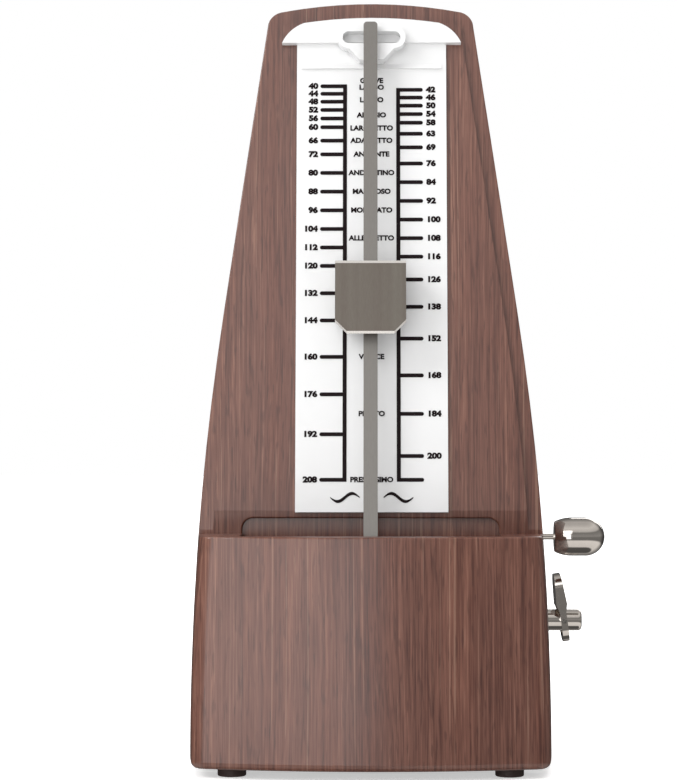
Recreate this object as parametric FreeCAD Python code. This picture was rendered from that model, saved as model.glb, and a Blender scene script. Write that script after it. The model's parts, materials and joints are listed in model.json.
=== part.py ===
import FreeCAD, Part
import math
import os

# Mechanical pyramid metronome, front cover off. Millimetres, +Z up, the front faces -Y.
# The origin is the middle of the plane that the four feet stand on.

V = FreeCAD.Vector
OUT_DIR = "parts"
FAR = 80.0                  # beyond the case on every side, for cutting tools
OVER = 1.0                  # how far a cutting tool runs past what it cuts

# ---- case ----
HEIGHT = 221.3
CASE_LOW = 2.5              # the case's bottom edge, above the feet's faces
CASE_ROUND = 2.0            # rounding of that edge
BASE_HALF = 51.75           # half width where the walls stand upright, at FLARE_START
FLARE_START = 5.0
FLARE_END = 128.0
FLARE_RADIUS = 850.0        # the walls curve inwards on this radius, then run straight
LOFT_STEP = 20.0            # about this far between the sections of a loft
FRONT_BOW = 170.0           # plan radius of the front wall at the base
SIDE_BOW = 420.0            # plan radius of the other walls at the base
CORNER_R = 5.2
WALL = 2.6
TOP_ARCH_R = 140.0
TOP_CORNER_R = 5.0
ARCH_CLEAR = 0.06           # keeps the arch tool's sides off the walls it rounds
ARCH_DROP = 8.0             # the shoulders of the arch lie within this far of the top
SHOULDER_STEPS = 30
LEDGE_Z = 66.45
LEDGE_ROUND = 0.6
SKIRT_TOP = 73.1            # the panel's foot below this falls back towards the ledge
SKIRT_IN = 1.7              # and ends this far behind the panel's plane
LEAN = math.atan(0.15)      # the panel, the plate and the pendulum all lean back by this
PANEL_THICK = 3.2
REBATE_W = 4.0
REBATE_DEPTH = 1.4
REBATE_CORNER_R = 2.0
RIM_ROUND = 0.3
OPENING_HALF = 36.5
OPENING_TOP = 70.9
OPENING_R = 3.2
OPENING_ROUND = 0.5
SLOT_FRONT_Y = -40.0
POCKET_DEPTH = 2.0
POCKET_WALL = 1.6
POCKET_FLOOR_Z = 61.6
BOSS_X = 45.0
BOSS_Y = 27.0
BOSS_R = 4.2
BOSS_TOP = 16.0
BOSS_CAP = 3.0              # left above the screw hole of a boss
WALL_HOLE_X = 36.0          # the two holes of the right wall are bored from here outwards
WALL_FIT = 0.08

# ---- base, feet and screws ----
BASE_GAP = 0.25
BASE_Z = 3.2
BASE_THICK = 2.0
BASE_TOP = BASE_Z + BASE_THICK
FOOT_X = 38.5
FOOT_Y = 38.0
FOOT_R = 4.0
SCREW_R = 1.5
SCREW_HEAD_R = 2.9
SCREW_HEAD_H = 1.5
SCREW_FIT = 0.1
SCREW_ROUND = 0.6
SCREW_SLOT = 0.7            # width and depth of the cross in a screw's head
SCREW_CROSS = 3.2
THREAD_FIT = 0.1
BASE_SCREW_LENGTH = 7.5
MOVE_SCREW_LENGTH = 5.0
FOOT_ROUND = 0.5

# ---- lean frame: its origin is the pivot, its Z runs up the rod, its Y along the arbor ----
PIVOT_Y = -32.0
PIVOT_Z = 61.0
PANEL_Y = 8.0               # panel face behind the rod's middle, in the lean frame
PLATE_THICK = 1.2
PLATE_X = 0.3               # the plate and its clip sit this far right of the rod
PLATE_HALF = 21.75
PLATE_BOTTOM = 12.8
EAR_UNDER = 150.55
RIDGE = 142.95               # lower edge of the wedge-shaped ridge across the plate
RIDGE_RISE = 1.5
RIDGE_HALF = 20.4
RIDGE_THICK = 1.9
CAP_TOP = 158.0
CAP_THICK = 2.6
CAP_HALF = 26.1
CAP_SHOULDER = (19.7, 1.5)  # where the cap's arch turns into its ears: X, and drop from the top
CAP_WAIST = (24.0, 4.3)     # a point half way down an ear
CLIP_BACK = PANEL_Y - CAP_THICK
CLIP_DEPTH = 3.4
CLIP_LOW = 147.85
CLIP_HIGH = 154.45
CLIP_HALF = 9.9
CLIP_RIM = 1.5
CLIP_WEB_TOP = 7.1          # half widths of the web that runs down from the clip's head
CLIP_WEB_FOOT = 3.5

# ---- pendulum ----
ROD_W = 4.0
ROD_T = 1.2
ROD_TOP = 155.0
ROD_BOTTOM = -44.0
ROD_ROUND = 1.0
ARBOR_R = 1.25
ARBOR_END_R = 0.9
ARBOR_REAR = 47.0
ARBOR_END = 3.0             # length of its thin rear end
HUB_R = 3.0
HUB_LEN = 3.3
COUNTER_R = 15.0
COUNTER_T = 10.0
COUNTER_FRONT = -4.0
COUNTER_DROP = 38.5
COUNTER_EDGE = 0.8
COUNTER_SCREW_R = 1.2
BOB_W = 20.1
BOB_H = 21.1
BOB_MIDDLE = 72.45
BOB_FRONT = -6.0
BOB_BACK = 3.0
BOB_WALL = 1.4
BOB_FACE = 1.6
BOB_CUT = 3.3               # the cut-off lower corners
BOB_DRAFT = 0.22            # slope of the lower end, which rises towards the back
BOB_SLOT_DEEP = 4.0
BOB_HUB_ROOM = 1.3          # left around the hub when the weight is lowest
BOB_EDGE = 0.75             # height of the sloped strips along the top and the bottom
BOB_EDGE_DEPTH = 0.28
ROD_SLOT_GAP = 0.15
LEAF_T = 0.4                # leaf spring inside the weight
LEAF_GAP = 0.1
LEAF_HALF = 2.5

# ---- going train: every arbor lies along X ----
MODULE = 0.6
PRESSURE = math.radians(25.0)
BACKLASH = 0.10
ADDENDUM = 0.9              # in modules, as is the next
DEDENDUM = 1.2
FLANK_STEPS = 4
SAW_RISE = 0.85             # share of a saw tooth taken by its slow side
GREAT_TEETH = 60
SECOND_TEETH = 48
PINION_TEETH = 12
ESCAPE_TEETH = 15
KEY_Y = 12.0
KEY_Z = 39.8
ESCAPE_Y = 0.0
PLATE_L = -24.0             # outer face of the left movement plate
PLATE_R = 31.0              # outer face of the right movement plate
MOVE_T = 1.5
MOVE_FRONT = -26.0
MOVE_REAR = 31.0
MOVE_STEP_Y = -10.0
MOVE_LOW_TOP = 58.0
MOVE_TOP = 70.0
FLANGE_W = 9.0
FLANGE_HOLE = 5.0           # screw holes of the flanges, in from the plates' outer faces
FLANGE_HOLE_Y = 20.0
TRAIN_ARBOR_R = 1.2
PIVOT_R = 0.8
PIVOT_FIT = 0.05
END_PLAY = 0.4
BUSH_R = 2.4
SELECT_BUSH_R = 2.8
FRONT_BRIDGE_Z = (46.0, 54.0)
REAR_BRIDGE_Y = 13.6
REAR_BRIDGE_Z = (60.0, 68.0)
TONGUE_W = 11.0
BEARING_EDGE = 4.0          # left around an arbor in a bridge
TAB_LENGTH = 9.0
SHELF_W = 13.0
PILLAR_R = 2.2
HEAD_R = 2.5                # heads of the slotted screws
HEAD_T = 1.2
HEAD_SLOT = 0.6
PILLAR_SCREW_LENGTH = 4.5
PILLARS = ((-21.0, 12.0), (25.5, 12.0), (25.5, 64.0))
GREAT_X = (14.0, 17.0)
BARREL_X = (17.0, 27.0)
BARREL_R = 15.5
BARREL_WALL = 1.0
COVER_T = 0.8
MAINSPRING_T = 0.35
MAINSPRING_TURNS = 6
MAINSPRING_START = 0.9      # innermost turn, outside the winding arbor
TURN_STEPS = 24             # flats in one turn of the spiral
MAINSPRING_GAP = 0.8        # left at each end of the barrel
KEY_ARBOR_R = 2.5
KEY_JOURNAL_R = 1.6
KEY_BUSH_R = 4.5            # outside of the winding arbor's bushes
SPOKE_HALF = 1.2
SECOND_WHEEL_X = (-18.5, -16.5)
SECOND_HUB_R = 4.0
SECOND_RIM = 3.0
SECOND_PINION_X = (13.2, 17.6)
DRUM_X = (4.5, 12.6)
DRUM_CORE_R = 5.0
ESCAPE_PINION_X = (-19.5, -15.5)
CROWN_X = (-10.0, -4.5)
CROWN_R = 9.5
CROWN_WEB = 1.2
CROWN_WALL = 1.2
CROWN_TOOTH = 2.6
CROWN_HUB_R = 2.6
CROWN_RIM = 2.0
NOTCH_ROOT = 0.30           # half widths of the notches between its teeth, in pitches
NOTCH_MOUTH = 0.42
COCK_X = (-13.5, -12.0)
COCK_W = 7.2
COCK_REACH = 13.5
COCK_RISE = 8.0
COCK_POST_R = 1.8
PALLET_REACH = 4.0
PALLET_SPAN = 8.6
PALLET_W = 3.0
PALLET_ANGLE = 48.0
PALLET_T = 0.8
PALLET_TUBE_R = 2.0

# ---- ratchet and click, outside the right plate ----
RATCHET_X = (32.0, 34.0)
RATCHET_TEETH = 24
RATCHET_R = 8.0
RATCHET_DEPTH = 1.0
CLICK = (22.0, 50.6)        # the click's screw: Y and Z
CLICK_SCREW_R = 1.2

# ---- beats, bell and hammer ----
SELECT_Y = 0.0
SELECT_Z = 64.9
SELECT_STEP = 2.0
BEATS = (2, 3, 4, 6)
BEATS_PER_TURN = 2 * ESCAPE_TEETH * SECOND_TEETH // PINION_TEETH
CAM_R = 10.0
CAM_DEPTH = 0.7
TAIL_X = 3.75
TAIL_T = 1.2
SELECT_THICK_R = 1.5
SELECT_THIN_R = 0.88
SELECT_SHOULDER = 38.0
SELECT_END = -2.0
GROOVE_X = 33.0             # the first of the grooves that the detent spring meets
GROOVE_W = 0.9
GROOVE_DEPTH = 0.35
DETENT_HALF = 1.2
BELL_X = 7.0
BELL_Y = 12.0
BELL_Z = 72.0
BELL_R = 16.0
BELL_T = 0.9
BELL_POST_R = 1.6
BELL_STUD_R = 1.2
STUD_REACH = 1.0            # its lower stud goes this far through the shelf
NUT_R = 3.0
NUT_T = 2.2
TAIL_GAP = 0.4              # the hammer's tail stands this far outside the cams
TAIL_TURN = math.radians(20.0)
HAMMER_HEAD = (-7.6, 76.8)
HAMMER_R = 2.4
HAMMER_HUB = 1.0            # its hub stands this far out on each side of the lever
COLLAR_W = 1.3
SPRING_WIRE_R = 0.25
SPRING_KNEE = (-8.2, 72.0)

# ---- controls on the right wall ----
KNOB_X = (53.6, 68.3)
KNOB_R = 5.6
KNOB_BACK_R = 4.4           # radius of its flat back, from which it swells to KNOB_R
KNOB_SWELL = 5.0            # length of that swell
KNOB_EDGE = 0.5             # rounding of the back's rim
KNOB_DOME = 5.6
KNOB_BORE = 5.0
KEY_SHAFT_R = 3.175
KEY_COLLAR_X = 36.0
KEY_END = 62.5
KEY_ROUND = 1.2
WING_X = 57.0
WING_UP = 13.9
WING_DOWN = 6.2
WING_TILT = 8.3
WING_HUB_T = 3.2
WING_TIP_T = 1.9
WING_THIN = 2.4             # the wing is thin up to here above the shaft's axis
WING_THICK = 4.9            # and thickest here
WING_HALF = 6.0
WING_HOLE = 4.6
WING_EYE_HALF = 3.5
WING_EYE_R = 2.0
WING_CORNER_R = 4.0
PIN_INSET = 0.3
WING_PIN_R = 0.6


# ---- helpers ----
def box(x0, x1, y0, y1, z0, z1):
    return Part.makeBox(x1 - x0, y1 - y0, z1 - z0, V(x0, y0, z0))


def rod_x(x0, x1, y, z, radius):
    return Part.makeCylinder(radius, x1 - x0, V(x0, y, z), V(1, 0, 0))


def rod_y(y0, y1, x, z, radius):
    return Part.makeCylinder(radius, y1 - y0, V(x, y0, z), V(0, 1, 0))


def rod_z(z0, z1, x, y, radius):
    return Part.makeCylinder(radius, z1 - z0, V(x, y, z0), V(0, 0, 1))


def prism(points, direction):
    """Extrudes a closed polygon, given as 3D points, along a vector."""
    wire = Part.makePolygon(points + [points[0]])
    return Part.Face(wire).extrude(direction)


def prism_x(points, x0, x1):
    return prism([V(x0, y, z) for y, z in points], V(x1 - x0, 0, 0))


def prism_y(points, y0, y1):
    return prism([V(x, y0, z) for x, z in points], V(0, y1 - y0, 0))


def prism_z(points, z0, z1):
    return prism([V(x, y, z0) for x, y in points], V(0, 0, z1 - z0))


def fused(shapes):
    """One shape from many that overlap or touch."""
    return shapes[0].multiFuse(shapes[1:]).removeSplitter()


def group(shapes):
    """Separate solids that share one node."""
    return Part.makeCompound(shapes)


def leaned(shape):
    """Moves a shape from the lean frame to the assembly's frame."""
    moved = shape.copy()
    moved.rotate(V(0, 0, 0), V(1, 0, 0), -math.degrees(LEAN))
    moved.translate(V(0, PIVOT_Y, PIVOT_Z))
    return moved


def arbor_z(y):
    """Height of the pendulum arbor's axis at a given Y."""
    return PIVOT_Z - math.tan(LEAN) * (y - PIVOT_Y)


def polar(center, radius, angle):
    return (center[0] + radius * math.cos(angle), center[1] + radius * math.sin(angle))


def aim(start, end):
    """Angle of the line from one (y, z) point to another."""
    return math.atan2(end[1] - start[1], end[0] - start[0])


def meeting_point(a, radius_a, b, radius_b, side):
    """The point at the two given distances from a and b; side picks one of the two."""
    gap = math.hypot(b[0] - a[0], b[1] - a[1])
    along = (radius_a**2 - radius_b**2 + gap**2) / (2 * gap)
    across = math.sqrt(radius_a**2 - along**2) * side
    turn = aim(a, b)
    x = a[0] + along * math.cos(turn) - across * math.sin(turn)
    y = a[1] + along * math.sin(turn) + across * math.cos(turn)
    return (x, y)


# ---- case form ----
def half_width(z):
    """Half width of the pyramid at height z: upright, then curving in, then straight."""
    rise = max(z - FLARE_START, 0.0)
    bend = min(rise, FLARE_END - FLARE_START)
    lost = FLARE_RADIUS - math.sqrt(FLARE_RADIUS**2 - bend**2)
    slope = bend / math.sqrt(FLARE_RADIUS**2 - bend**2)
    return BASE_HALF - lost - slope * (rise - bend)


def case_section(z, inset):
    """Closed outline of the pyramid at height z: four bowed walls and round corners."""
    half = half_width(z)
    scale = half / BASE_HALF
    half -= inset
    corner = max(CORNER_R - inset, 1.2)
    front_r = FRONT_BOW * scale - inset
    side_r = SIDE_BOW * scale - inset
    front_mid = (0.0, front_r - half)
    back_mid = (0.0, half - side_r)
    side_mid = (half - side_r, 0.0)

    def corner_points(wall_mid, wall_r, side):
        mid = meeting_point(wall_mid, wall_r - corner, side_mid, side_r - corner, side)
        wall_turn = aim(wall_mid, mid)
        side_turn = aim(side_mid, mid)
        on_wall = polar(wall_mid, wall_r, wall_turn)
        on_side = polar(side_mid, side_r, side_turn)
        middle = polar(mid, corner, (wall_turn + side_turn) / 2)
        return on_wall, middle, on_side

    front = corner_points(front_mid, front_r, 1)
    back = corner_points(back_mid, side_r, -1)

    def arc(a, b, c):
        return Part.Arc(V(a[0], a[1], z), V(b[0], b[1], z), V(c[0], c[1], z)).toShape()

    def mirrored(point):
        return (-point[0], point[1])

    edges = [
        arc(mirrored(front[0]), (0.0, -half), front[0]),
        arc(*front),
        arc(front[2], (half, 0.0), back[2]),
        arc(back[2], back[1], back[0]),
        arc(back[0], (0.0, half), mirrored(back[0])),
        arc(mirrored(back[0]), mirrored(back[1]), mirrored(back[2])),
        arc(mirrored(back[2]), (-half, 0.0), mirrored(front[2])),
        arc(mirrored(front[2]), mirrored(front[1]), mirrored(front[0])),
    ]
    return Part.Wire(edges)


def pyramid(bottom, top, inset):
    """Solid pyramid between two heights, its walls set in by a given amount."""
    count = max(2, round((top - bottom) / LOFT_STEP))
    heights = [bottom + (top - bottom) * step / count for step in range(count + 1)]
    return Part.makeLoft([case_section(z, inset) for z in heights], True, False)


def arch_tool(radius_less, corner):
    """Everything below the arched top, with rounded shoulders, as a bar along Y."""
    radius = TOP_ARCH_R - radius_less
    middle = (0.0, HEIGHT - TOP_ARCH_R)
    edge_z = HEIGHT - radius_less - ARCH_DROP
    edge_x = half_width(edge_z) - radius_less + ARCH_CLEAR
    slope = math.tan(LEAN)
    wall_turn = math.atan(slope)
    # The shoulder's centre is one corner radius in from both the arch and the straight wall.
    # Its height follows from its place on the wall, so both are worked out by turns.
    reach = corner / math.cos(wall_turn)
    low = HEIGHT - 5 * ARCH_DROP
    shoulder_z = edge_z
    for _ in range(SHOULDER_STEPS):
        shoulder_x = edge_x - reach - slope * (shoulder_z - edge_z)
        shoulder_z = middle[1] + math.sqrt((radius - corner) ** 2 - shoulder_x**2)
    shoulder = (shoulder_x, shoulder_z)
    on_wall = polar(shoulder, corner, wall_turn)
    on_arch = polar(middle, radius, aim(middle, shoulder))
    halfway = polar(shoulder, corner, (wall_turn + aim(middle, shoulder)) / 2)
    foot_x = edge_x + slope * (edge_z - low)

    def at(point, side):
        return V(side * point[0], -FAR, point[1])

    top = Part.Arc(at(on_arch, -1), V(0, -FAR, middle[1] + radius), at(on_arch, 1)).toShape()
    edges = [
        top,
        Part.Arc(at(on_arch, 1), at(halfway, 1), at(on_wall, 1)).toShape(),
        Part.makeLine(at(on_wall, 1), V(foot_x, -FAR, low)),
        Part.makeLine(V(foot_x, -FAR, low), V(-foot_x, -FAR, low)),
        Part.makeLine(V(-foot_x, -FAR, low), at(on_wall, -1)),
        Part.Arc(at(on_wall, -1), at(halfway, -1), at(on_arch, -1)).toShape(),
    ]
    bar = Part.Face(Part.Wire(edges)).extrude(V(0, 2 * FAR, 0))
    return fused([bar, box(-FAR, FAR, -FAR, FAR, -10.0, low)])


def panel_y(z):
    """Y of the panel's front face at height z."""
    return PIVOT_Y + PANEL_Y / math.cos(LEAN) + math.tan(LEAN) * (z - PIVOT_Z)


def cover_space(deeper, lower):
    """The room that the removed front cover fills, grown backwards and downwards."""
    top = HEIGHT + 20.0
    bottom = LEDGE_Z - lower
    outline = [
        (-FAR, bottom),
        (panel_y(bottom) + deeper, bottom),
        (panel_y(top) + deeper, top),
        (-FAR, top),
    ]
    return prism_x(outline, -FAR, FAR)


def opening_tool():
    """Round-cornered way through the panel's foot, running forwards over the ledge slot."""
    rear = panel_y(OPENING_TOP) + POCKET_DEPTH
    tall = box(-OPENING_HALF, OPENING_HALF, SLOT_FRONT_Y, rear, 50.0, OPENING_TOP)
    corners = [e for e in tall.Edges if is_top_corner(e)]
    return tall.makeFillet(OPENING_R, corners)


def is_top_corner(edge):
    """True for the two top edges that run along Y."""
    box_of = edge.BoundBox
    return box_of.YLength > 1.0 and box_of.ZMin > OPENING_TOP - 0.1 and box_of.XLength < 0.1


def is_ledge_edge(edge):
    """True for the ledge's curved outer edge, forward of the panel."""
    place = edge.BoundBox
    level = place.ZMin > LEDGE_Z - 0.01 and place.ZMax < LEDGE_Z + 0.01
    forward = place.YMax < panel_y(LEDGE_Z) + 0.5 and place.YMin < panel_y(LEDGE_Z) - 0.5
    outside = place.XMax > OPENING_HALF + 0.1 or place.XMin < -OPENING_HALF - 0.1
    return level and forward and outside


def is_opening_edge(edge):
    """True for the edges where the opening leaves the panel's foot."""
    place = edge.BoundBox
    inside = place.XMax < OPENING_HALF + 0.1 and place.XMin > -OPENING_HALF - 0.1
    above = place.ZMin > LEDGE_Z - 0.01 and place.ZMax < OPENING_TOP + 0.01
    front = place.YMax < panel_y(LEDGE_Z) + SKIRT_IN + 0.1 and place.YMin > panel_y(LEDGE_Z)
    return inside and above and front and place.ZLength + place.XLength > 1.0


def is_rim_edge(edge):
    """True for the two long edges where the side walls meet the rebate's floor."""
    if edge.BoundBox.ZLength < FLARE_END:
        return False
    middle = edge.valueAt((edge.FirstParameter + edge.LastParameter) / 2)
    in_plane = abs(middle.y - panel_y(middle.z) - REBATE_DEPTH) < 0.02
    return in_plane and abs(middle.x) > half_width(middle.z) - REBATE_W / 2


def make_case():
    outer = pyramid(CASE_LOW, HEIGHT + 4.0, 0.0)
    outer = outer.makeFillet(CASE_ROUND, [e for e in outer.Edges if e.BoundBox.ZMax < CASE_LOW + 0.1])
    outer = outer.common(arch_tool(0.0, TOP_CORNER_R)).cut(cover_space(0.0, 0.0))
    inner = pyramid(0.0, HEIGHT + 2.0, WALL).common(arch_tool(WALL, TOP_CORNER_R - WALL))
    inner = inner.cut(cover_space(PANEL_THICK, WALL))
    rear = panel_y(OPENING_TOP) + POCKET_DEPTH
    hood = box(
        -OPENING_HALF - POCKET_WALL,
        OPENING_HALF + POCKET_WALL,
        panel_y(LEDGE_Z),
        rear + POCKET_WALL,
        POCKET_FLOOR_Z,
        OPENING_TOP + POCKET_WALL,
    )
    inner = inner.cut(hood)
    case = outer.cut(inner).cut(opening_tool())
    skirt = [
        (-FAR, LEDGE_Z),
        (panel_y(LEDGE_Z) + SKIRT_IN, LEDGE_Z),
        (panel_y(SKIRT_TOP), SKIRT_TOP),
        (-FAR, SKIRT_TOP),
    ]
    case = case.cut(prism_x(skirt, -FAR, FAR))
    rebate_slab = cover_space(REBATE_DEPTH, 0.0)
    kept = pyramid(LEDGE_Z - 1.0, HEIGHT + 2.0, REBATE_W)
    kept = kept.common(arch_tool(REBATE_W, REBATE_CORNER_R))
    case = case.cut(rebate_slab.cut(kept))
    case = case.makeFillet(LEDGE_ROUND, [e for e in case.Edges if is_ledge_edge(e)])
    case = case.makeFillet(OPENING_ROUND, [e for e in case.Edges if is_opening_edge(e)])
    case = case.makeFillet(RIM_ROUND, [e for e in case.Edges if is_rim_edge(e)])
    bosses = [rod_z(BASE_TOP, BOSS_TOP, x, y, BOSS_R) for x, y in base_screw_spots()]
    case = fused([case] + bosses)
    for x, y in base_screw_spots():
        case = case.cut(rod_z(BASE_TOP - OVER, BOSS_TOP - BOSS_CAP, x, y, SCREW_R))
    case = case.cut(rod_x(WALL_HOLE_X, FAR, SELECT_Y, SELECT_Z, SELECT_THIN_R + WALL_FIT))
    case = case.cut(rod_x(WALL_HOLE_X, FAR, KEY_Y, KEY_Z, KEY_SHAFT_R + WALL_FIT))
    return case


# ---- base ----
def movement_screw_spots():
    spots = []
    for x in (PLATE_L + FLANGE_HOLE, PLATE_R - FLANGE_HOLE):
        for y in (-FLANGE_HOLE_Y, FLANGE_HOLE_Y):
            spots.append((x, y))
    return spots


def base_screw_spots():
    return [(x, y) for x in (-BOSS_X, BOSS_X) for y in (-BOSS_Y, BOSS_Y)]


def make_base_plate():
    outline = case_section(BASE_Z, WALL + BASE_GAP)
    plate = Part.Face(outline).extrude(V(0, 0, BASE_THICK))
    for x, y in base_screw_spots() + movement_screw_spots():
        plate = plate.cut(rod_z(BASE_Z - OVER, BASE_TOP + OVER, x, y, SCREW_R + SCREW_FIT))
    return plate


def pan_screw(x, y, length):
    """Screw driven upwards through the base plate, with a cross slot in its head."""
    head_z = BASE_Z - SCREW_HEAD_H
    head = rod_z(head_z, BASE_Z, x, y, SCREW_HEAD_R)
    head = head.makeFillet(SCREW_ROUND, [e for e in head.Edges if e.BoundBox.ZMax < head_z + 0.1])
    shank = rod_z(BASE_Z, BASE_Z + length, x, y, SCREW_R - THREAD_FIT)
    long = SCREW_CROSS / 2
    half = SCREW_SLOT / 2
    top = head_z + SCREW_SLOT
    slot_a = box(x - long, x + long, y - half, y + half, head_z, top)
    slot_b = box(x - half, x + half, y - long, y + long, head_z, top)
    return head.fuse(shank).cut(slot_a).cut(slot_b)


def make_base_screws():
    return group([pan_screw(x, y, BASE_SCREW_LENGTH) for x, y in base_screw_spots()])


def make_movement_screws():
    return group([pan_screw(x, y, MOVE_SCREW_LENGTH) for x, y in movement_screw_spots()])


def make_feet():
    feet = []
    for x in (-FOOT_X, FOOT_X):
        for y in (-FOOT_Y, FOOT_Y):
            foot = rod_z(0.0, BASE_Z, x, y, FOOT_R)
            low_edges = [e for e in foot.Edges if e.BoundBox.ZMax < 0.1]
            feet.append(foot.makeFillet(FOOT_ROUND, low_edges))
    return group(feet)


# ---- plate and clip on the panel ----
def make_scale_plate():
    strip = box(-PLATE_HALF, PLATE_HALF, PANEL_Y - PLATE_THICK, PANEL_Y, PLATE_BOTTOM, EAR_UNDER + 2.0)
    wedge = [
        (PANEL_Y, RIDGE),
        (PANEL_Y - RIDGE_THICK, RIDGE),
        (PANEL_Y - PLATE_THICK, RIDGE + RIDGE_RISE),
        (PANEL_Y, RIDGE + RIDGE_RISE),
    ]
    ridge = prism_x(wedge, -RIDGE_HALF, RIDGE_HALF)

    def at(x, drop):
        return V(x, PANEL_Y, CAP_TOP - drop)

    def ear(side):
        shoulder = at(side * CAP_SHOULDER[0], CAP_SHOULDER[1])
        waist = at(side * CAP_WAIST[0], CAP_WAIST[1])
        return Part.Arc(shoulder, waist, at(side * CAP_HALF, tip_drop)).toShape()

    tip_drop = CAP_TOP - EAR_UNDER
    arch = Part.Arc(at(-CAP_SHOULDER[0], CAP_SHOULDER[1]), at(0.0, 0.0), at(*CAP_SHOULDER)).toShape()
    under = Part.makeLine(at(CAP_HALF, tip_drop), at(-CAP_HALF, tip_drop))
    cap = Part.Face(Part.Wire([arch, ear(1), under, ear(-1)])).extrude(V(0, -CAP_THICK, 0))
    plate = fused([strip, ridge, cap])
    plate.translate(V(PLATE_X, 0, 0))
    return leaned(plate)


def stadium(half, low, high, y0, y1):
    """Bar with round ends, lying along X, extruded along Y."""
    radius = (high - low) / 2
    middle = (high + low) / 2
    flat = half - radius
    ends = [rod_y(y0, y1, side * flat, middle, radius) for side in (-1, 1)]
    return fused([box(-flat, flat, y0, y1, low, high)] + ends)


def make_rod_clip():
    front = CLIP_BACK - CLIP_DEPTH
    head = stadium(CLIP_HALF, CLIP_LOW, CLIP_HIGH, front, CLIP_BACK)
    slot = stadium(
        CLIP_HALF - CLIP_RIM, CLIP_LOW + CLIP_RIM, CLIP_HIGH - CLIP_RIM, front, CLIP_BACK
    )
    web_low = RIDGE + RIDGE_RISE
    outline = [
        (-CLIP_WEB_TOP, CLIP_LOW + 0.5),
        (CLIP_WEB_TOP, CLIP_LOW + 0.5),
        (CLIP_WEB_FOOT, web_low),
        (-CLIP_WEB_FOOT, web_low),
    ]
    web = prism_y(outline, front, PANEL_Y - PLATE_THICK)
    over_cap = fused([head, web]).cut(slot)
    cap_room = box(-CAP_HALF, CAP_HALF, CLIP_BACK, PANEL_Y, EAR_UNDER, CAP_TOP)
    clip = over_cap.cut(cap_room)
    clip.translate(V(PLATE_X, 0, 0))
    return leaned(clip)


# ---- pendulum ----
def make_rod():
    bar = box(-ROD_W / 2, ROD_W / 2, -ROD_T / 2, ROD_T / 2, ROD_BOTTOM, ROD_TOP)
    top_edges = []
    for edge in bar.Edges:
        if edge.BoundBox.ZMin > ROD_TOP - 0.1 and edge.BoundBox.YLength > 0.5:
            if edge.BoundBox.XLength < 0.1:
                top_edges.append(edge)
    bar = bar.makeFillet(ROD_ROUND, top_edges)
    hole = rod_y(-ROD_T, ROD_T, 0.0, 0.0, ARBOR_R)
    screw_hole = rod_y(-ROD_T, ROD_T, 0.0, -COUNTER_DROP, COUNTER_SCREW_R)
    return leaned(bar.cut(hole).cut(screw_hole))


def make_hub():
    """Collar behind the rod, pressed on the arbor."""
    start = ROD_T / 2
    collar = rod_y(start, start + HUB_LEN, 0.0, 0.0, HUB_R)
    return leaned(collar.cut(rod_y(start, start + HUB_LEN, 0.0, 0.0, ARBOR_R)))


def make_pendulum_arbor():
    front = rod_y(-ROD_T / 2, ARBOR_REAR - ARBOR_END, 0.0, 0.0, ARBOR_R)
    end = rod_y(ARBOR_REAR - ARBOR_END, ARBOR_REAR, 0.0, 0.0, ARBOR_END_R)
    return leaned(fused([front, end]))


def make_pallets():
    """Two blades on one sleeve, set either side of the crown wheel's middle."""
    middle = (ESCAPE_Y - PIVOT_Y) / math.cos(LEAN)
    reach = PALLET_SPAN + PALLET_W / 2
    pieces = [rod_y(middle - reach, middle + reach, 0.0, 0.0, PALLET_TUBE_R)]
    for side in (-1, 1):
        start = middle + side * PALLET_SPAN - PALLET_W / 2
        blade = box(-PALLET_REACH, 0.0, start, start + PALLET_W, -PALLET_T / 2, PALLET_T / 2)
        blade.rotate(V(0, 0, 0), V(0, 1, 0), side * PALLET_ANGLE)
        pieces.append(blade)
    bore = rod_y(middle - reach - OVER, middle + reach + OVER, 0.0, 0.0, ARBOR_R)
    return leaned(fused(pieces).cut(bore))


def make_counterweight():
    """Heavy disc on the rod's lower end, slotted over the rod."""
    start = COUNTER_FRONT
    disc = rod_y(start, start + COUNTER_T, 0.0, -COUNTER_DROP, COUNTER_R)
    disc = disc.makeChamfer(COUNTER_EDGE, [e for e in disc.Edges if e.BoundBox.XLength > COUNTER_R])
    half_w = ROD_W / 2
    half_t = ROD_T / 2
    slot = box(-half_w, half_w, -half_t, half_t, ROD_BOTTOM, 0.0)
    screw_hole = rod_y(start, start + COUNTER_T, 0.0, -COUNTER_DROP, COUNTER_SCREW_R)
    return leaned(disc.cut(slot).cut(screw_hole))


def make_counter_screw():
    head_y = COUNTER_FRONT - HEAD_T
    head = rod_y(head_y, COUNTER_FRONT, 0.0, -COUNTER_DROP, HEAD_R)
    shank = rod_y(COUNTER_FRONT, COUNTER_FRONT + COUNTER_T, 0.0, -COUNTER_DROP, COUNTER_SCREW_R)
    half = HEAD_SLOT / 2
    slot = box(-HEAD_R, HEAD_R, head_y, head_y + HEAD_SLOT, -COUNTER_DROP - half, -COUNTER_DROP + half)
    return leaned(head.fuse(shank).cut(slot))


# ---- sliding weight ----
def bob_wire(y, side_inset=0.0, end_inset=0.0):
    """Outline at depth y: a square with its lower corners cut off, its sides and ends set in."""
    half = BOB_W / 2 - side_inset
    top = BOB_MIDDLE + BOB_H / 2 - end_inset
    bottom = BOB_MIDDLE - BOB_H / 2 + end_inset + BOB_DRAFT * (y - BOB_FRONT)
    points = [
        (-half, top),
        (-half, bottom + BOB_CUT),
        (-half + BOB_CUT, bottom),
        (half - BOB_CUT, bottom),
        (half, bottom + BOB_CUT),
        (half, top),
        (-half, top),
    ]
    return Part.makePolygon([V(x, y, z) for x, z in points])


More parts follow.
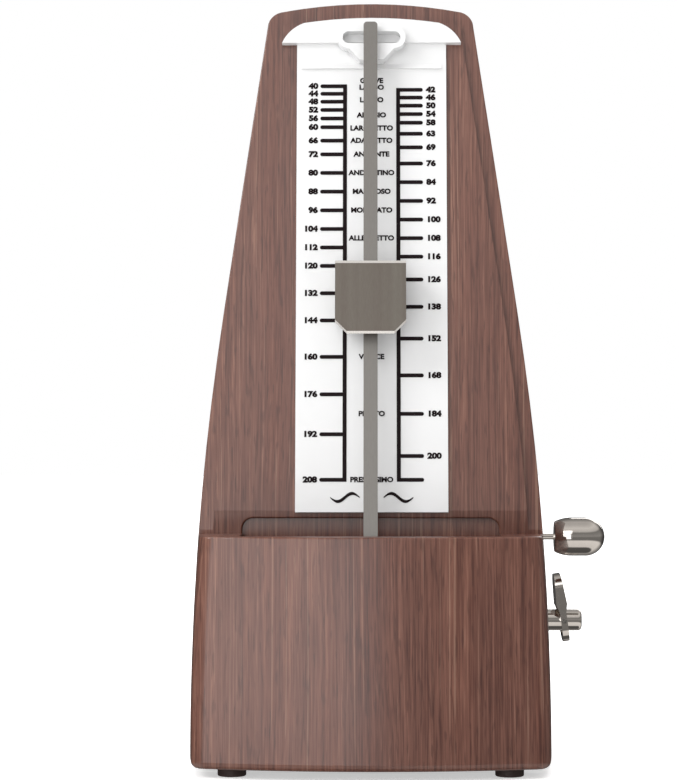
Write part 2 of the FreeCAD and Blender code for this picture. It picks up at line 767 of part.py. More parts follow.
def make_weight_body():
    """Shell with a bevelled front, open at the back, with slots for the rod."""
    edge_y = BOB_FRONT + BOB_EDGE_DEPTH
    rim = bob_wire(edge_y)
    shell = Part.makeLoft([rim, bob_wire(BOB_BACK)], True, True)
    bevel = Part.makeLoft([bob_wire(BOB_FRONT, 0.0, BOB_EDGE), rim], True, True)
    room = [bob_wire(y, BOB_WALL, BOB_WALL) for y in (BOB_FRONT + BOB_FACE, BOB_BACK + 1.0)]
    hollow = Part.makeLoft(room, True, True)
    half_w = ROD_W / 2 + ROD_SLOT_GAP
    half_t = ROD_T / 2 + ROD_SLOT_GAP
    top = BOB_MIDDLE + BOB_H / 2
    bottom = BOB_MIDDLE - BOB_H / 2
    top_slot = box(-half_w, half_w, -half_t, half_t, top - BOB_SLOT_DEEP, top + OVER)
    hub_room = HUB_R + BOB_HUB_ROOM
    slot_end = bottom + BOB_SLOT_DEEP
    low_slot = box(-hub_room, hub_room, -half_t, BOB_BACK + OVER, bottom - OVER, slot_end)
    return leaned(fused([shell, bevel]).cut(hollow).cut(top_slot).cut(low_slot))


def make_weight_spring():
    """Bowed leaf between the weight's face and the rod."""
    seat = BOB_FRONT + BOB_FACE
    near = -ROD_T / 2 - LEAF_GAP
    leaf = LEAF_T
    profile = [
        (seat, 7.0),
        (seat, 5.5),
        (near - leaf, 1.5),
        (near - leaf, -1.5),
        (seat, -5.5),
        (seat, -7.0),
        (seat + leaf, -7.0),
        (seat + leaf, -5.3),
        (near, -1.7),
        (near, 1.7),
        (seat + leaf, 5.3),
        (seat + leaf, 7.0),
    ]
    points = [(y, BOB_MIDDLE + z) for y, z in profile]
    return leaned(prism_x(points, -LEAF_HALF, LEAF_HALF))


# ---- wheels ----
def involute(angle):
    return math.tan(angle) - angle


def gear_outline(center, teeth, tooth_at):
    """Spur gear outline as (y, z) points, with one tooth centred on the angle tooth_at."""
    pitch_r = MODULE * teeth / 2
    base_r = pitch_r * math.cos(PRESSURE)
    tip_r = pitch_r + ADDENDUM * MODULE
    root_r = pitch_r - DEDENDUM * MODULE
    half = math.pi / (2 * teeth) - BACKLASH / (2 * pitch_r)
    start_r = max(base_r, root_r)
    flank = [(root_r, half + involute(PRESSURE))]
    if root_r > base_r:
        flank = []
    for step in range(FLANK_STEPS + 1):
        radius = start_r + (tip_r - start_r) * step / FLANK_STEPS
        roll = math.acos(min(base_r / radius, 1.0))
        flank.append((radius, half + involute(PRESSURE) - involute(roll)))
    points = []
    for tooth in range(teeth):
        middle = tooth_at + 2 * math.pi * tooth / teeth
        for radius, off in flank:
            points.append(polar(center, radius, middle - off))
        for radius, off in reversed(flank):
            points.append(polar(center, radius, middle + off))
    return points


def star_outline(center, count, low_r, high_r):
    """Saw-tooth ring outline: each tooth rises slowly and drops at once."""
    points = []
    pitch = 2 * math.pi / count
    for tooth in range(count):
        points.append(polar(center, low_r, tooth * pitch))
        points.append(polar(center, high_r, (tooth + SAW_RISE) * pitch))
    return points


KEY = (KEY_Y, KEY_Z)
ESCAPE = (ESCAPE_Y, arbor_z(ESCAPE_Y))
GREAT_GAP = MODULE * (GREAT_TEETH + PINION_TEETH) / 2
SECOND_GAP = MODULE * (SECOND_TEETH + PINION_TEETH) / 2
SECOND = meeting_point(KEY, GREAT_GAP, ESCAPE, SECOND_GAP, 1)


def gear(center, teeth, spot, partner, is_driver):
    """Gear between two X positions, in mesh at rest with the gear on its partner's centre."""
    tooth_at = aim(center, partner)
    if not is_driver:
        tooth_at += math.pi / teeth
    return prism_x(gear_outline(center, teeth, tooth_at), spot[0], spot[1])


def spoked(center, radius, hub, rim, spot):
    """Windows that leave four spokes in a wheel, as one tool."""
    ring = rod_x(spot[0] - OVER, spot[1] + OVER, *center, radius - rim)
    ring = ring.cut(rod_x(spot[0] - OVER, spot[1] + OVER, *center, hub))
    y, z = center
    bar_a = box(spot[0] - OVER, spot[1] + OVER, y - radius, y + radius, z - SPOKE_HALF, z + SPOKE_HALF)
    bar_b = box(spot[0] - OVER, spot[1] + OVER, y - SPOKE_HALF, y + SPOKE_HALF, z - radius, z + radius)
    return ring.cut(bar_a).cut(bar_b)


def make_barrel():
    wheel = gear(KEY, GREAT_TEETH, GREAT_X, SECOND, True)
    drum = rod_x(BARREL_X[0], BARREL_X[1], *KEY, BARREL_R)
    room = rod_x(BARREL_X[0] + 0.01, BARREL_X[1] + OVER, *KEY, BARREL_R - BARREL_WALL)
    bore = rod_x(GREAT_X[0] - OVER, BARREL_X[1] + OVER, *KEY, KEY_ARBOR_R + PIVOT_FIT)
    return fused([wheel, drum]).cut(room).cut(bore)


def make_barrel_cover():
    spot = (BARREL_X[1], BARREL_X[1] + COVER_T)
    disc = rod_x(spot[0], spot[1], *KEY, BARREL_R)
    return disc.cut(rod_x(spot[0] - OVER, spot[1] + OVER, *KEY, KEY_ARBOR_R + PIVOT_FIT))


def make_mainspring():
    """Flat spiral strip, hooked to the barrel wall on the outside."""
    half = MAINSPRING_T / 2
    inner_r = KEY_ARBOR_R + MAINSPRING_START
    outer_r = BARREL_R - BARREL_WALL - half
    count = MAINSPRING_TURNS * TURN_STEPS
    path = []
    for step in range(count + 1):
        share = step / count
        path.append((inner_r + (outer_r - inner_r) * share, 2 * math.pi * MAINSPRING_TURNS * share))
    outside = [polar(KEY, radius + half, angle) for radius, angle in path]
    inside = [polar(KEY, radius - half, angle) for radius, angle in path]
    return prism_x(outside + inside[::-1], BARREL_X[0] + MAINSPRING_GAP, BARREL_X[1] - MAINSPRING_GAP)


def make_second_wheel():
    wheel = gear(SECOND, SECOND_TEETH, SECOND_WHEEL_X, ESCAPE, True)
    pitch_r = MODULE * SECOND_TEETH / 2
    wheel = wheel.cut(spoked(SECOND, pitch_r, SECOND_HUB_R, SECOND_RIM, SECOND_WHEEL_X))
    return wheel.cut(rod_x(SECOND_WHEEL_X[0], SECOND_WHEEL_X[1], *SECOND, TRAIN_ARBOR_R))


def make_second_arbor():
    pinion = gear(SECOND, PINION_TEETH, SECOND_PINION_X, KEY, False)
    middle = rod_x(PLATE_L + MOVE_T + END_PLAY, PLATE_R - MOVE_T - END_PLAY, *SECOND, TRAIN_ARBOR_R)
    ends = rod_x(PLATE_L - END_PLAY, PLATE_R + END_PLAY, *SECOND, PIVOT_R)
    return fused([middle, pinion, ends])


def make_beat_drum():
    """Four cam rings on one sleeve, one ring for each choice of beats."""
    sleeve = rod_x(DRUM_X[0], DRUM_X[1], *SECOND, DRUM_CORE_R)
    pieces = [sleeve]
    for place, beats in enumerate(BEATS):
        middle = TAIL_X + SELECT_STEP * (place + 1)
        outline = star_outline(SECOND, BEATS_PER_TURN // beats, CAM_R - CAM_DEPTH, CAM_R)
        pieces.append(prism_x(outline, middle - TAIL_T / 2, middle + TAIL_T / 2))
    return fused(pieces).cut(rod_x(DRUM_X[0], DRUM_X[1], *SECOND, TRAIN_ARBOR_R))


def make_escape_arbor():
    pinion = gear(ESCAPE, PINION_TEETH, ESCAPE_PINION_X, SECOND, False)
    body = rod_x(PLATE_L + MOVE_T + END_PLAY, COCK_X[0] - END_PLAY, *ESCAPE, TRAIN_ARBOR_R)
    ends = rod_x(PLATE_L - END_PLAY, CROWN_X[0] + CROWN_WEB, *ESCAPE, PIVOT_R)
    return fused([pinion, body, ends])


def make_crown_wheel():
    """Cup with its teeth standing parallel to the arbor, towards the pallets."""
    web_x = (CROWN_X[0], CROWN_X[0] + CROWN_WEB)
    web = rod_x(*web_x, *ESCAPE, CROWN_R)
    cup = rod_x(*CROWN_X, *ESCAPE, CROWN_R).cut(rod_x(*CROWN_X, *ESCAPE, CROWN_R - CROWN_WALL))
    pitch = 2 * math.pi * CROWN_R / ESCAPE_TEETH
    root_x = CROWN_X[1] - CROWN_TOOTH
    mouth_x = CROWN_X[1] + OVER
    low = CROWN_R - 2 * CROWN_WALL
    notch = [
        V(root_x, -pitch * NOTCH_ROOT, low),
        V(root_x, pitch * NOTCH_ROOT, low),
        V(mouth_x, pitch * NOTCH_MOUTH, low),
        V(mouth_x, -pitch * NOTCH_MOUTH, low),
    ]
    tool = prism(notch, V(0, 0, 4 * CROWN_WALL))
    for tooth in range(ESCAPE_TEETH):
        cutter = tool.copy()
        cutter.rotate(V(0, 0, 0), V(1, 0, 0), 360.0 * tooth / ESCAPE_TEETH)
        cutter.translate(V(0, ESCAPE[0], ESCAPE[1]))
        cup = cup.cut(cutter)
    wheel = fused([web, cup]).cut(spoked(ESCAPE, CROWN_R, CROWN_HUB_R, CROWN_RIM, web_x))
    return wheel.cut(rod_x(*CROWN_X, *ESCAPE, PIVOT_R))


# ---- movement frame ----
def plate_outline():
    return [
        (MOVE_FRONT, BASE_TOP),
        (MOVE_FRONT, MOVE_LOW_TOP),
        (MOVE_STEP_Y, MOVE_LOW_TOP),
        (MOVE_STEP_Y, MOVE_TOP),
        (MOVE_REAR, MOVE_TOP),
        (MOVE_REAR, BASE_TOP),
    ]


def movement_plate(x0, x1, flange_side, bush_spots):
    plate = prism_x(plate_outline(), x0, x1)
    flange_x = (x1, x1 + FLANGE_W) if flange_side > 0 else (x0 - FLANGE_W, x0)
    flange = box(flange_x[0], flange_x[1], MOVE_FRONT, MOVE_REAR, BASE_TOP, BASE_TOP + MOVE_T)
    shape = fused([plate, flange])
    for spot in bush_spots:
        shape = shape.cut(rod_x(x0 - OVER, x1 + OVER, *spot, BUSH_R))
    for spot in PILLARS:
        shape = shape.cut(rod_x(x0 - OVER, x1 + OVER, *spot, SCREW_R))
    for x, y in movement_screw_spots():
        shape = shape.cut(rod_z(BASE_Z, BASE_TOP + 4.0, x, y, SCREW_R - PIVOT_FIT))
    return shape


def make_plate_left():
    shape = movement_plate(PLATE_L, PLATE_L + MOVE_T, 1, (SECOND, ESCAPE))
    return shape.cut(rod_x(PLATE_L - OVER, PLATE_L + MOVE_T + OVER, *KEY, KEY_BUSH_R))


def make_plate_right():
    shape = movement_plate(PLATE_R - MOVE_T, PLATE_R, -1, (SECOND,))
    x0 = PLATE_R - MOVE_T - OVER
    x1 = PLATE_R + OVER
    shape = shape.cut(rod_x(x0, x1, *KEY, KEY_BUSH_R))
    return shape.cut(rod_x(x0, x1, SELECT_Y, SELECT_Z, SELECT_BUSH_R))


def bush(x0, spot, outer, inner, length):
    return rod_x(x0, x0 + length, *spot, outer).cut(rod_x(x0, x0 + length, *spot, inner))


def make_bushes():
    rings = []
    left = PLATE_L
    right = PLATE_R - MOVE_T
    for spot in (SECOND, ESCAPE):
        rings.append(bush(left, spot, BUSH_R, PIVOT_R + PIVOT_FIT, MOVE_T))
    rings.append(bush(right, SECOND, BUSH_R, PIVOT_R + PIVOT_FIT, MOVE_T))
    rings.append(bush(left, KEY, KEY_BUSH_R, KEY_JOURNAL_R + PIVOT_FIT, MOVE_T))
    rings.append(bush(right, KEY, KEY_BUSH_R, KEY_ARBOR_R + PIVOT_FIT, MOVE_T))
    select = (SELECT_Y, SELECT_Z)
    rings.append(bush(right, select, SELECT_BUSH_R, SELECT_THICK_R + PIVOT_FIT, MOVE_T))
    return group(rings)


def make_pillars():
    deep = MOVE_T + PILLAR_SCREW_LENGTH + 0.5
    bars = []
    for spot in PILLARS:
        bar = rod_x(PLATE_L + MOVE_T, PLATE_R - MOVE_T, *spot, PILLAR_R)
        left = rod_x(PLATE_L, PLATE_L + deep, *spot, SCREW_R)
        right = rod_x(PLATE_R - deep, PLATE_R, *spot, SCREW_R)
        bars.append(bar.cut(left).cut(right))
    return group(bars)


def slotted_screw(face_x, side, spot):
    """Screw whose head stands on the face at face_x, its head towards side."""
    y, z = spot
    head_x = face_x + side * HEAD_T
    slot_x = head_x - side * HEAD_SLOT
    end_x = face_x - side * (MOVE_T + PILLAR_SCREW_LENGTH)
    half = HEAD_SLOT / 2
    head = rod_x(min(face_x, head_x), max(face_x, head_x), *spot, HEAD_R)
    slot = box(min(slot_x, head_x), max(slot_x, head_x), y - HEAD_R, y + HEAD_R, z - half, z + half)
    shank = rod_x(min(face_x, end_x), max(face_x, end_x), *spot, SCREW_R)
    return head.cut(slot).fuse(shank)


def make_pillar_screws():
    screws = []
    for spot in PILLARS:
        screws.append(slotted_screw(PLATE_L, -1, spot))
        screws.append(slotted_screw(PLATE_R, 1, spot))
    return group(screws)


def tabs(y0, z0, z1):
    """The two bent ends of a bridge, lying against the inner faces of the plates."""
    left = PLATE_L + MOVE_T
    right = PLATE_R - MOVE_T
    y1 = y0 + TAB_LENGTH
    return [
        box(left, left + MOVE_T, y0, y1, z0, z1),
        box(right - MOVE_T, right, y0, y1, z0, z1),
    ]


def make_front_bridge():
    """Carries the pendulum arbor's front bearing."""
    left = PLATE_L + MOVE_T
    right = PLATE_R - MOVE_T
    y0 = MOVE_FRONT
    low, high = FRONT_BRIDGE_Z
    bar = box(left, right, y0, y0 + MOVE_T, low, high)
    half = TONGUE_W / 2
    tongue = box(-half, half, y0, y0 + MOVE_T, high, arbor_z(y0) + BEARING_EDGE)
    shape = fused([bar, tongue] + tabs(y0, low, high))
    hole = rod_y(0.0, MOVE_STEP_Y - PIVOT_Y, 0.0, 0.0, ARBOR_R + PIVOT_FIT)
    return shape.cut(leaned(hole))


def make_rear_bridge():
    """Carries the pendulum arbor's rear bearing, and the bell on a shelf."""
    left = PLATE_L + MOVE_T
    right = PLATE_R - MOVE_T
    y0 = REAR_BRIDGE_Y
    low, high = REAR_BRIDGE_Z
    bar = box(left, right, y0, y0 + MOVE_T, low, high)
    half = TONGUE_W / 2
    tongue = box(-half, half, y0, y0 + MOVE_T, arbor_z(y0) - BEARING_EDGE, low)
    reach = SHELF_W / 2
    shelf = box(BELL_X - reach, BELL_X + reach, BELL_Y - reach, y0 + MOVE_T, high - MOVE_T, high)
    shape = fused([bar, tongue, shelf] + tabs(y0, low, high))
    start = (y0 - PIVOT_Y) / math.cos(LEAN) - 2.0
    hole = rod_y(start, start + MOVE_T + 4.0, 0.0, 0.0, ARBOR_END_R + PIVOT_FIT)
    post_hole = rod_z(low, high, BELL_X, BELL_Y, BELL_STUD_R)
    return shape.cut(leaned(hole)).cut(post_hole)


def make_escape_cock():
    """Small plate on two posts that carries the escape arbor beside the crown wheel."""
    y, z = ESCAPE
    x0, x1 = COCK_X
    half = COCK_W / 2
    rear_post = (y + COCK_REACH, z)
    upper_post = (y, z + COCK_RISE)
    plate = box(x0, x1, y - half, rear_post[0] + COCK_POST_R, z - half, z + half)
    rise = box(x0, x1, y - half, y + half, z - half, upper_post[1] + COCK_POST_R)
    posts = [rod_x(PLATE_L + MOVE_T, x1, *spot, COCK_POST_R) for spot in (rear_post, upper_post)]
    shape = fused([plate, rise] + posts)
    return shape.cut(rod_x(x0, x1, *ESCAPE, PIVOT_R + PIVOT_FIT))


# ---- winding ----
def make_key_shaft():
    """Winding arbor: thin through the barrel, thick where it leaves the case."""
    inner_face = PLATE_L + MOVE_T + END_PLAY
    journal = rod_x(PLATE_L - END_PLAY, inner_face, *KEY, KEY_JOURNAL_R)
    inside = rod_x(inner_face, KEY_COLLAR_X, *KEY, KEY_ARBOR_R)
    outside = rod_x(KEY_COLLAR_X, KEY_END, *KEY, KEY_SHAFT_R)
    end_edges = [e for e in outside.Edges if e.BoundBox.XMin > KEY_END - 0.1]
    outside = outside.makeFillet(KEY_ROUND, end_edges)
    shape = fused([journal, inside, outside])
    return shape.cut(rod_y(KEY_Y - 5.0, KEY_Y + 5.0, WING_X, KEY_Z, WING_PIN_R))


def make_ratchet_wheel():
    outline = star_outline(KEY, RATCHET_TEETH, RATCHET_R - RATCHET_DEPTH, RATCHET_R)
    wheel = prism_x(outline, *RATCHET_X)
    return wheel.cut(rod_x(*RATCHET_X, *KEY, KEY_ARBOR_R))


def make_click():
    """Pawl on its screw, its nose just outside the ratchet wheel's teeth."""
    y, z = CLICK
    outline = [
        (y, z + 2.6),
        (y + 2.6, z + 0.2),
        (y + 0.4, z - 2.4),
        (y - 7.6, z - 1.6),
        (y - 10.5, z - 2.2),
        (y - 9.4, z - 0.4),
    ]
    blade = prism_x(outline, *RATCHET_X)
    return blade.cut(rod_x(*RATCHET_X, y, z, CLICK_SCREW_R + PIVOT_FIT))


def make_click_screw():
    head_x = RATCHET_X[1] + 0.3
    stem = rod_x(PLATE_R, head_x, *CLICK, CLICK_SCREW_R)
    head = rod_x(head_x, head_x + HEAD_T, *CLICK, HEAD_R)
    return fused([stem, head])


def make_click_spring():
    """Leaf from a foot on the plate down to the back of the click."""
    y, z = CLICK
    outline = [
        (y + 5.0, z + 9.9),
        (y + 7.0, z + 9.9),
        (y + 7.0, z + 8.3),
        (y - 4.0, z + 3.3),
        (y - 7.0, z + 0.7),
        (y - 7.3, z + 1.1),
        (y - 4.3, z + 3.8),
        (y + 5.0, z + 8.0),
    ]
    return prism_x(outline, PLATE_R, RATCHET_X[0] + 0.8)


def make_key_wing():
    """Folding wing: a plate with an eye that the shaft passes through, tapered to its ends."""
    top = KEY_Z + WING_UP
    bottom = KEY_Z - WING_DOWN
    hub = WING_HUB_T / 2
    tip = WING_TIP_T / 2
    right = [(tip, bottom), (tip, KEY_Z + WING_THIN), (hub, KEY_Z + WING_THICK), (tip, top)]
    left = [(-x, z) for x, z in reversed(right)]
    profile = [(WING_X + x, z) for x, z in right + left]
    wing = prism_y(profile, KEY_Y - WING_HALF, KEY_Y + WING_HALF)
    outline = slab_x(WING_HALF, bottom, top, WING_CORNER_R)
    eye = slab_x(WING_EYE_HALF, KEY_Z - WING_HOLE, KEY_Z + WING_HOLE, WING_EYE_R)
    pin_hole = rod_y(KEY_Y - FAR, KEY_Y + FAR, WING_X, KEY_Z, WING_PIN_R + PIVOT_FIT)
    wing = wing.common(outline).cut(eye).cut(pin_hole)
    wing.rotate(V(WING_X, KEY_Y, KEY_Z), V(0, 1, 0), -WING_TILT)
    return wing


def slab_x(half, low, high, corner):
    """Block around the wing's place, its four edges along X rounded."""
    block = box(WING_X - 5.0, WING_X + 5.0, KEY_Y - half, KEY_Y + half, low, high)
    return block.makeFillet(corner, [e for e in block.Edges if e.BoundBox.XLength > 1.0])


def make_key_pin():
    reach = WING_HALF - PIN_INSET
    return rod_y(KEY_Y - reach, KEY_Y + reach, WING_X, KEY_Z, WING_PIN_R)


# ---- selector, hammer and bell ----
def make_selector_rod():
    thick = rod_x(SELECT_END, SELECT_SHOULDER, SELECT_Y, SELECT_Z, SELECT_THICK_R)
    thin = rod_x(SELECT_SHOULDER, KNOB_X[0] + KNOB_BORE, SELECT_Y, SELECT_Z, SELECT_THIN_R)
    shape = fused([thick, thin])
    for step in range(len(BEATS) + 1):
        x = GROOVE_X - SELECT_STEP * step
        spot = (x - GROOVE_W / 2, x + GROOVE_W / 2)
        ring = rod_x(*spot, SELECT_Y, SELECT_Z, SELECT_THICK_R + OVER)
        ring = ring.cut(rod_x(*spot, SELECT_Y, SELECT_Z, SELECT_THICK_R - GROOVE_DEPTH))
        shape = shape.cut(ring)
    return shape


def make_selector_knob():
    """Bullet-shaped knob, turned about the rod."""
    x0, x1 = KNOB_X
    dome_x = x1 - KNOB_DOME
    dome_mid = (x1**2 - dome_x**2 - KNOB_R**2) / (2 * KNOB_DOME)
    dome_r = x1 - dome_mid

    def at(x, radius):
        return V(x, SELECT_Y, SELECT_Z + radius)

    swell_x = x0 + KNOB_SWELL
    swell_rise = KNOB_R - KNOB_BACK_R
    swell_r = (KNOB_SWELL**2 + swell_rise**2) / (2 * swell_rise)
    half_back = KNOB_SWELL / 2
    on_swell = at(swell_x - half_back, KNOB_R - swell_r + math.sqrt(swell_r**2 - half_back**2))
    on_dome = at(dome_mid + dome_r * math.cos(math.pi / 4), dome_r * math.sin(math.pi / 4))
    edges = [
        Part.makeLine(at(x0, 0.0), at(x0, KNOB_BACK_R)),
        Part.Arc(at(x0, KNOB_BACK_R), on_swell, at(swell_x, KNOB_R)).toShape(),
        Part.makeLine(at(swell_x, KNOB_R), at(dome_x, KNOB_R)),
        Part.Arc(at(dome_x, KNOB_R), on_dome, at(x1, 0.0)).toShape(),
        Part.makeLine(at(x1, 0.0), at(x0, 0.0)),
    ]
    face = Part.Face(Part.Wire(edges))
    knob = face.revolve(V(0, SELECT_Y, SELECT_Z), V(1, 0, 0), 360.0)
    knob = knob.makeFillet(KNOB_EDGE, [e for e in knob.Edges if e.BoundBox.XMax < x0 + 0.1])
    return knob.cut(rod_x(x0 - OVER, x0 + KNOB_BORE, SELECT_Y, SELECT_Z, SELECT_THIN_R))


def make_detent_spring():
    """Leaf on the right plate whose nose stands at the selector rod's grooves."""
    x0 = PLATE_R
    outline = [
        (x0, 12.0),
        (x0, 8.0),
        (GROOVE_X - 0.3, 8.0),
        (GROOVE_X - 0.3, 3.2),
        (GROOVE_X - 0.6, 2.6),
        (GROOVE_X, 1.9),
        (GROOVE_X + 0.6, 2.6),
        (GROOVE_X + 0.3, 3.2),
        (GROOVE_X + 0.3, 8.6),
        (x0 + 0.6, 8.6),
        (x0 + 0.6, 12.0),
    ]
    return prism_z(outline, SELECT_Z - DETENT_HALF, SELECT_Z + DETENT_HALF)


def make_hammer():
    """Lever on the selector rod: a tail down to the cams and a head up to the bell."""
    x0 = TAIL_X - TAIL_T / 2
    x1 = TAIL_X + TAIL_T / 2
    tip = polar(SECOND, CAM_R + TAIL_GAP, TAIL_TURN)
    tail = [(-1.4, 63.5), tip, (tip[0] + 1.0, tip[1] - 0.9), (tip[0] + 1.7, tip[1]), (1.8, 63.5)]
    arm = [(-2.6, 63.6), (-0.6, 66.6), (-5.6, 71.2), (-6.6, 77.0), (-8.2, 76.0), (-7.2, 70.6)]
    pieces = [
        rod_x(x0 - HAMMER_HUB, x1 + HAMMER_HUB, SELECT_Y, SELECT_Z, 2 * SELECT_THICK_R),
        prism_x(tail, x0, x1),
        prism_x(arm, x0, x1),
        rod_x(x0 - 1.4, x1 + 1.4, *HAMMER_HEAD, HAMMER_R),
    ]
    bore = rod_x(x0 - 2.0, x1 + 2.0, SELECT_Y, SELECT_Z, SELECT_THICK_R + PIVOT_FIT)
    return fused(pieces).cut(bore)


def make_hammer_collars():
    """Two rings on the selector rod that keep the hammer in its place."""
    reach = TAIL_T / 2 + 1.3
    starts = (TAIL_X - reach - COLLAR_W, TAIL_X + reach)
    return group([bush(x0, (SELECT_Y, SELECT_Z), BUSH_R, SELECT_THICK_R, COLLAR_W) for x0 in starts])


def make_hammer_spring():
    """Coil round the selector rod whose long leg crosses in front of the hammer's arm."""
    wire = SPRING_WIRE_R
    coil_r = SELECT_THICK_R + 0.1 + wire
    x0 = TAIL_X + TAIL_T / 2 + 2.9
    pieces = []
    for turn in range(4):
        x = x0 + turn * 1.9 * wire
        pieces.append(Part.makeTorus(coil_r, wire, V(x, SELECT_Y, SELECT_Z), V(1, 0, 0)))
    foot = V(x0, SELECT_Y - coil_r, SELECT_Z)
    knee = V(x0, *SPRING_KNEE)
    rise = knee - foot
    pieces.append(Part.makeCylinder(wire, rise.Length, foot, rise))
    pieces.append(Part.makeSphere(wire, knee))
    pieces.append(rod_x(TAIL_X - TAIL_T / 2, x0, knee.y, knee.z, wire))
    return fused(pieces)


def make_bell():
    """Thin dome, open below, with a hole for its screw in the crown."""
    middle = V(BELL_X, BELL_Y, BELL_Z)
    outer = Part.makeSphere(BELL_R, middle, V(0, 0, 1), 0.0, 90.0, 360.0)
    inner = Part.makeSphere(BELL_R - BELL_T, middle, V(0, 0, 1), -90.0, 90.0, 360.0)
    return outer.cut(inner).cut(rod_z(BELL_Z, BELL_Z + BELL_R, BELL_X, BELL_Y, BELL_STUD_R))


def make_bell_post():
    """Post between the shelf and the bell, with a stud at each end and a nut on the upper one."""
    shelf = REAR_BRIDGE_Z[1]
    crown = BELL_Z + BELL_R
    top = crown - BELL_T - 0.15
    pieces = [
        rod_z(shelf - MOVE_T - STUD_REACH, shelf, BELL_X, BELL_Y, BELL_STUD_R),
        rod_z(shelf, top, BELL_X, BELL_Y, BELL_POST_R),
        rod_z(top, crown + 1.2, BELL_X, BELL_Y, BELL_STUD_R),
        rod_z(crown + 0.05, crown + NUT_T, BELL_X, BELL_Y, NUT_R),
    ]
    return fused(pieces)


PARTS = {
    "case_body": make_case,
    "base_plate": make_base_plate,
    "base_screws": make_base_screws,
    "movement_screws": make_movement_screws,
    "feet": make_feet,
    "scale_plate": make_scale_plate,
    "rod_clip": make_rod_clip,
    "plate_left": make_plate_left,
    "plate_right": make_plate_right,
    "bushes": make_bushes,
    "pillars": make_pillars,
    "pillar_screws": make_pillar_screws,
    "front_bridge": make_front_bridge,
    "rear_bridge": make_rear_bridge,
    "escape_cock": make_escape_cock,
    "pendulum_rod": make_rod,
    "pendulum_hub": make_hub,
    "pendulum_arbor": make_pendulum_arbor,
    "pallets": make_pallets,
    "counterweight": make_counterweight,
    "counterweight_screw": make_counter_screw,
    "weight_body": make_weight_body,
    "weight_spring": make_weight_spring,
    "barrel": make_barrel,
    "barrel_cover": make_barrel_cover,
    "mainspring": make_mainspring,
    "second_wheel": make_second_wheel,
    "second_arbor": make_second_arbor,
    "beat_drum": make_beat_drum,
    "escape_arbor": make_escape_arbor,
    "crown_wheel": make_crown_wheel,
    "key_shaft": make_key_shaft,
    "key_wing": make_key_wing,
    "key_pin": make_key_pin,
    "ratchet_wheel": make_ratchet_wheel,
    "click": make_click,
    "click_screw": make_click_screw,
    "click_spring": make_click_spring,
    "selector_rod": make_selector_rod,
    "selector_knob": make_selector_knob,
    "detent_spring": make_detent_spring,
    "hammer": make_hammer,
    "hammer_collars": make_hammer_collars,
    "hammer_spring": make_hammer_spring,
    "bell": make_bell,
    "bell_post": make_bell_post,
}


def main():
    os.makedirs(OUT_DIR, exist_ok=True)
    for name, make in PARTS.items():
        shape = make()
        shape.exportStep(os.path.join(OUT_DIR, name + ".step"))
        print(name, "solids", len(shape.Solids), "valid", shape.isValid(), round(shape.Volume))


main()
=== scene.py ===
import json
import math

import bpy
from mathutils import Matrix, Vector


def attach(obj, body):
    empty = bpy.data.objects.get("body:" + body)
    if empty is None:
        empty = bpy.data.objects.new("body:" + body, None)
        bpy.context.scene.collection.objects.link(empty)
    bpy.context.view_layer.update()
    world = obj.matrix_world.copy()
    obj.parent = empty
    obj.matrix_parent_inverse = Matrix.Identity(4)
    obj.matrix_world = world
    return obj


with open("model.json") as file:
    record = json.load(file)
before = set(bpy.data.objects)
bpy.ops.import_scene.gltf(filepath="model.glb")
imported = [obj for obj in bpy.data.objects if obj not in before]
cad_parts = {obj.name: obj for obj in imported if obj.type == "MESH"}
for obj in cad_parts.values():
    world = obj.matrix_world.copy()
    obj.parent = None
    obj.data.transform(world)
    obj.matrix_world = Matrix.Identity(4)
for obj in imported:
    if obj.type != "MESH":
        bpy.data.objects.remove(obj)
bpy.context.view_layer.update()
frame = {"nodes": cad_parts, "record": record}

# Everything is in metres, in the CAD's frame: +Z up, the front faces -Y.
MM = 0.001
LEAN = math.atan(0.15)              # lean of the panel, the plate and the rod
PIVOT = Vector((0.0, -0.032, 0.061))
PLATE_FACE = 6.8 * MM               # the scale plate's front, behind the rod's middle
LEAN_FRAME = Matrix.Translation(PIVOT) @ Matrix.Rotation(-LEAN, 4, "X")


# ---------------------------------------------------------------- materials
def fill_ramp(color_ramp, stops):
    """Sets a new colour ramp to the given (place, linear RGB) stops."""
    elements = color_ramp.elements
    while len(elements) < len(stops):
        elements.new(0.5)
    for element, (place, color) in zip(elements, stops):
        element.position = place
        element.color = (*color, 1.0)


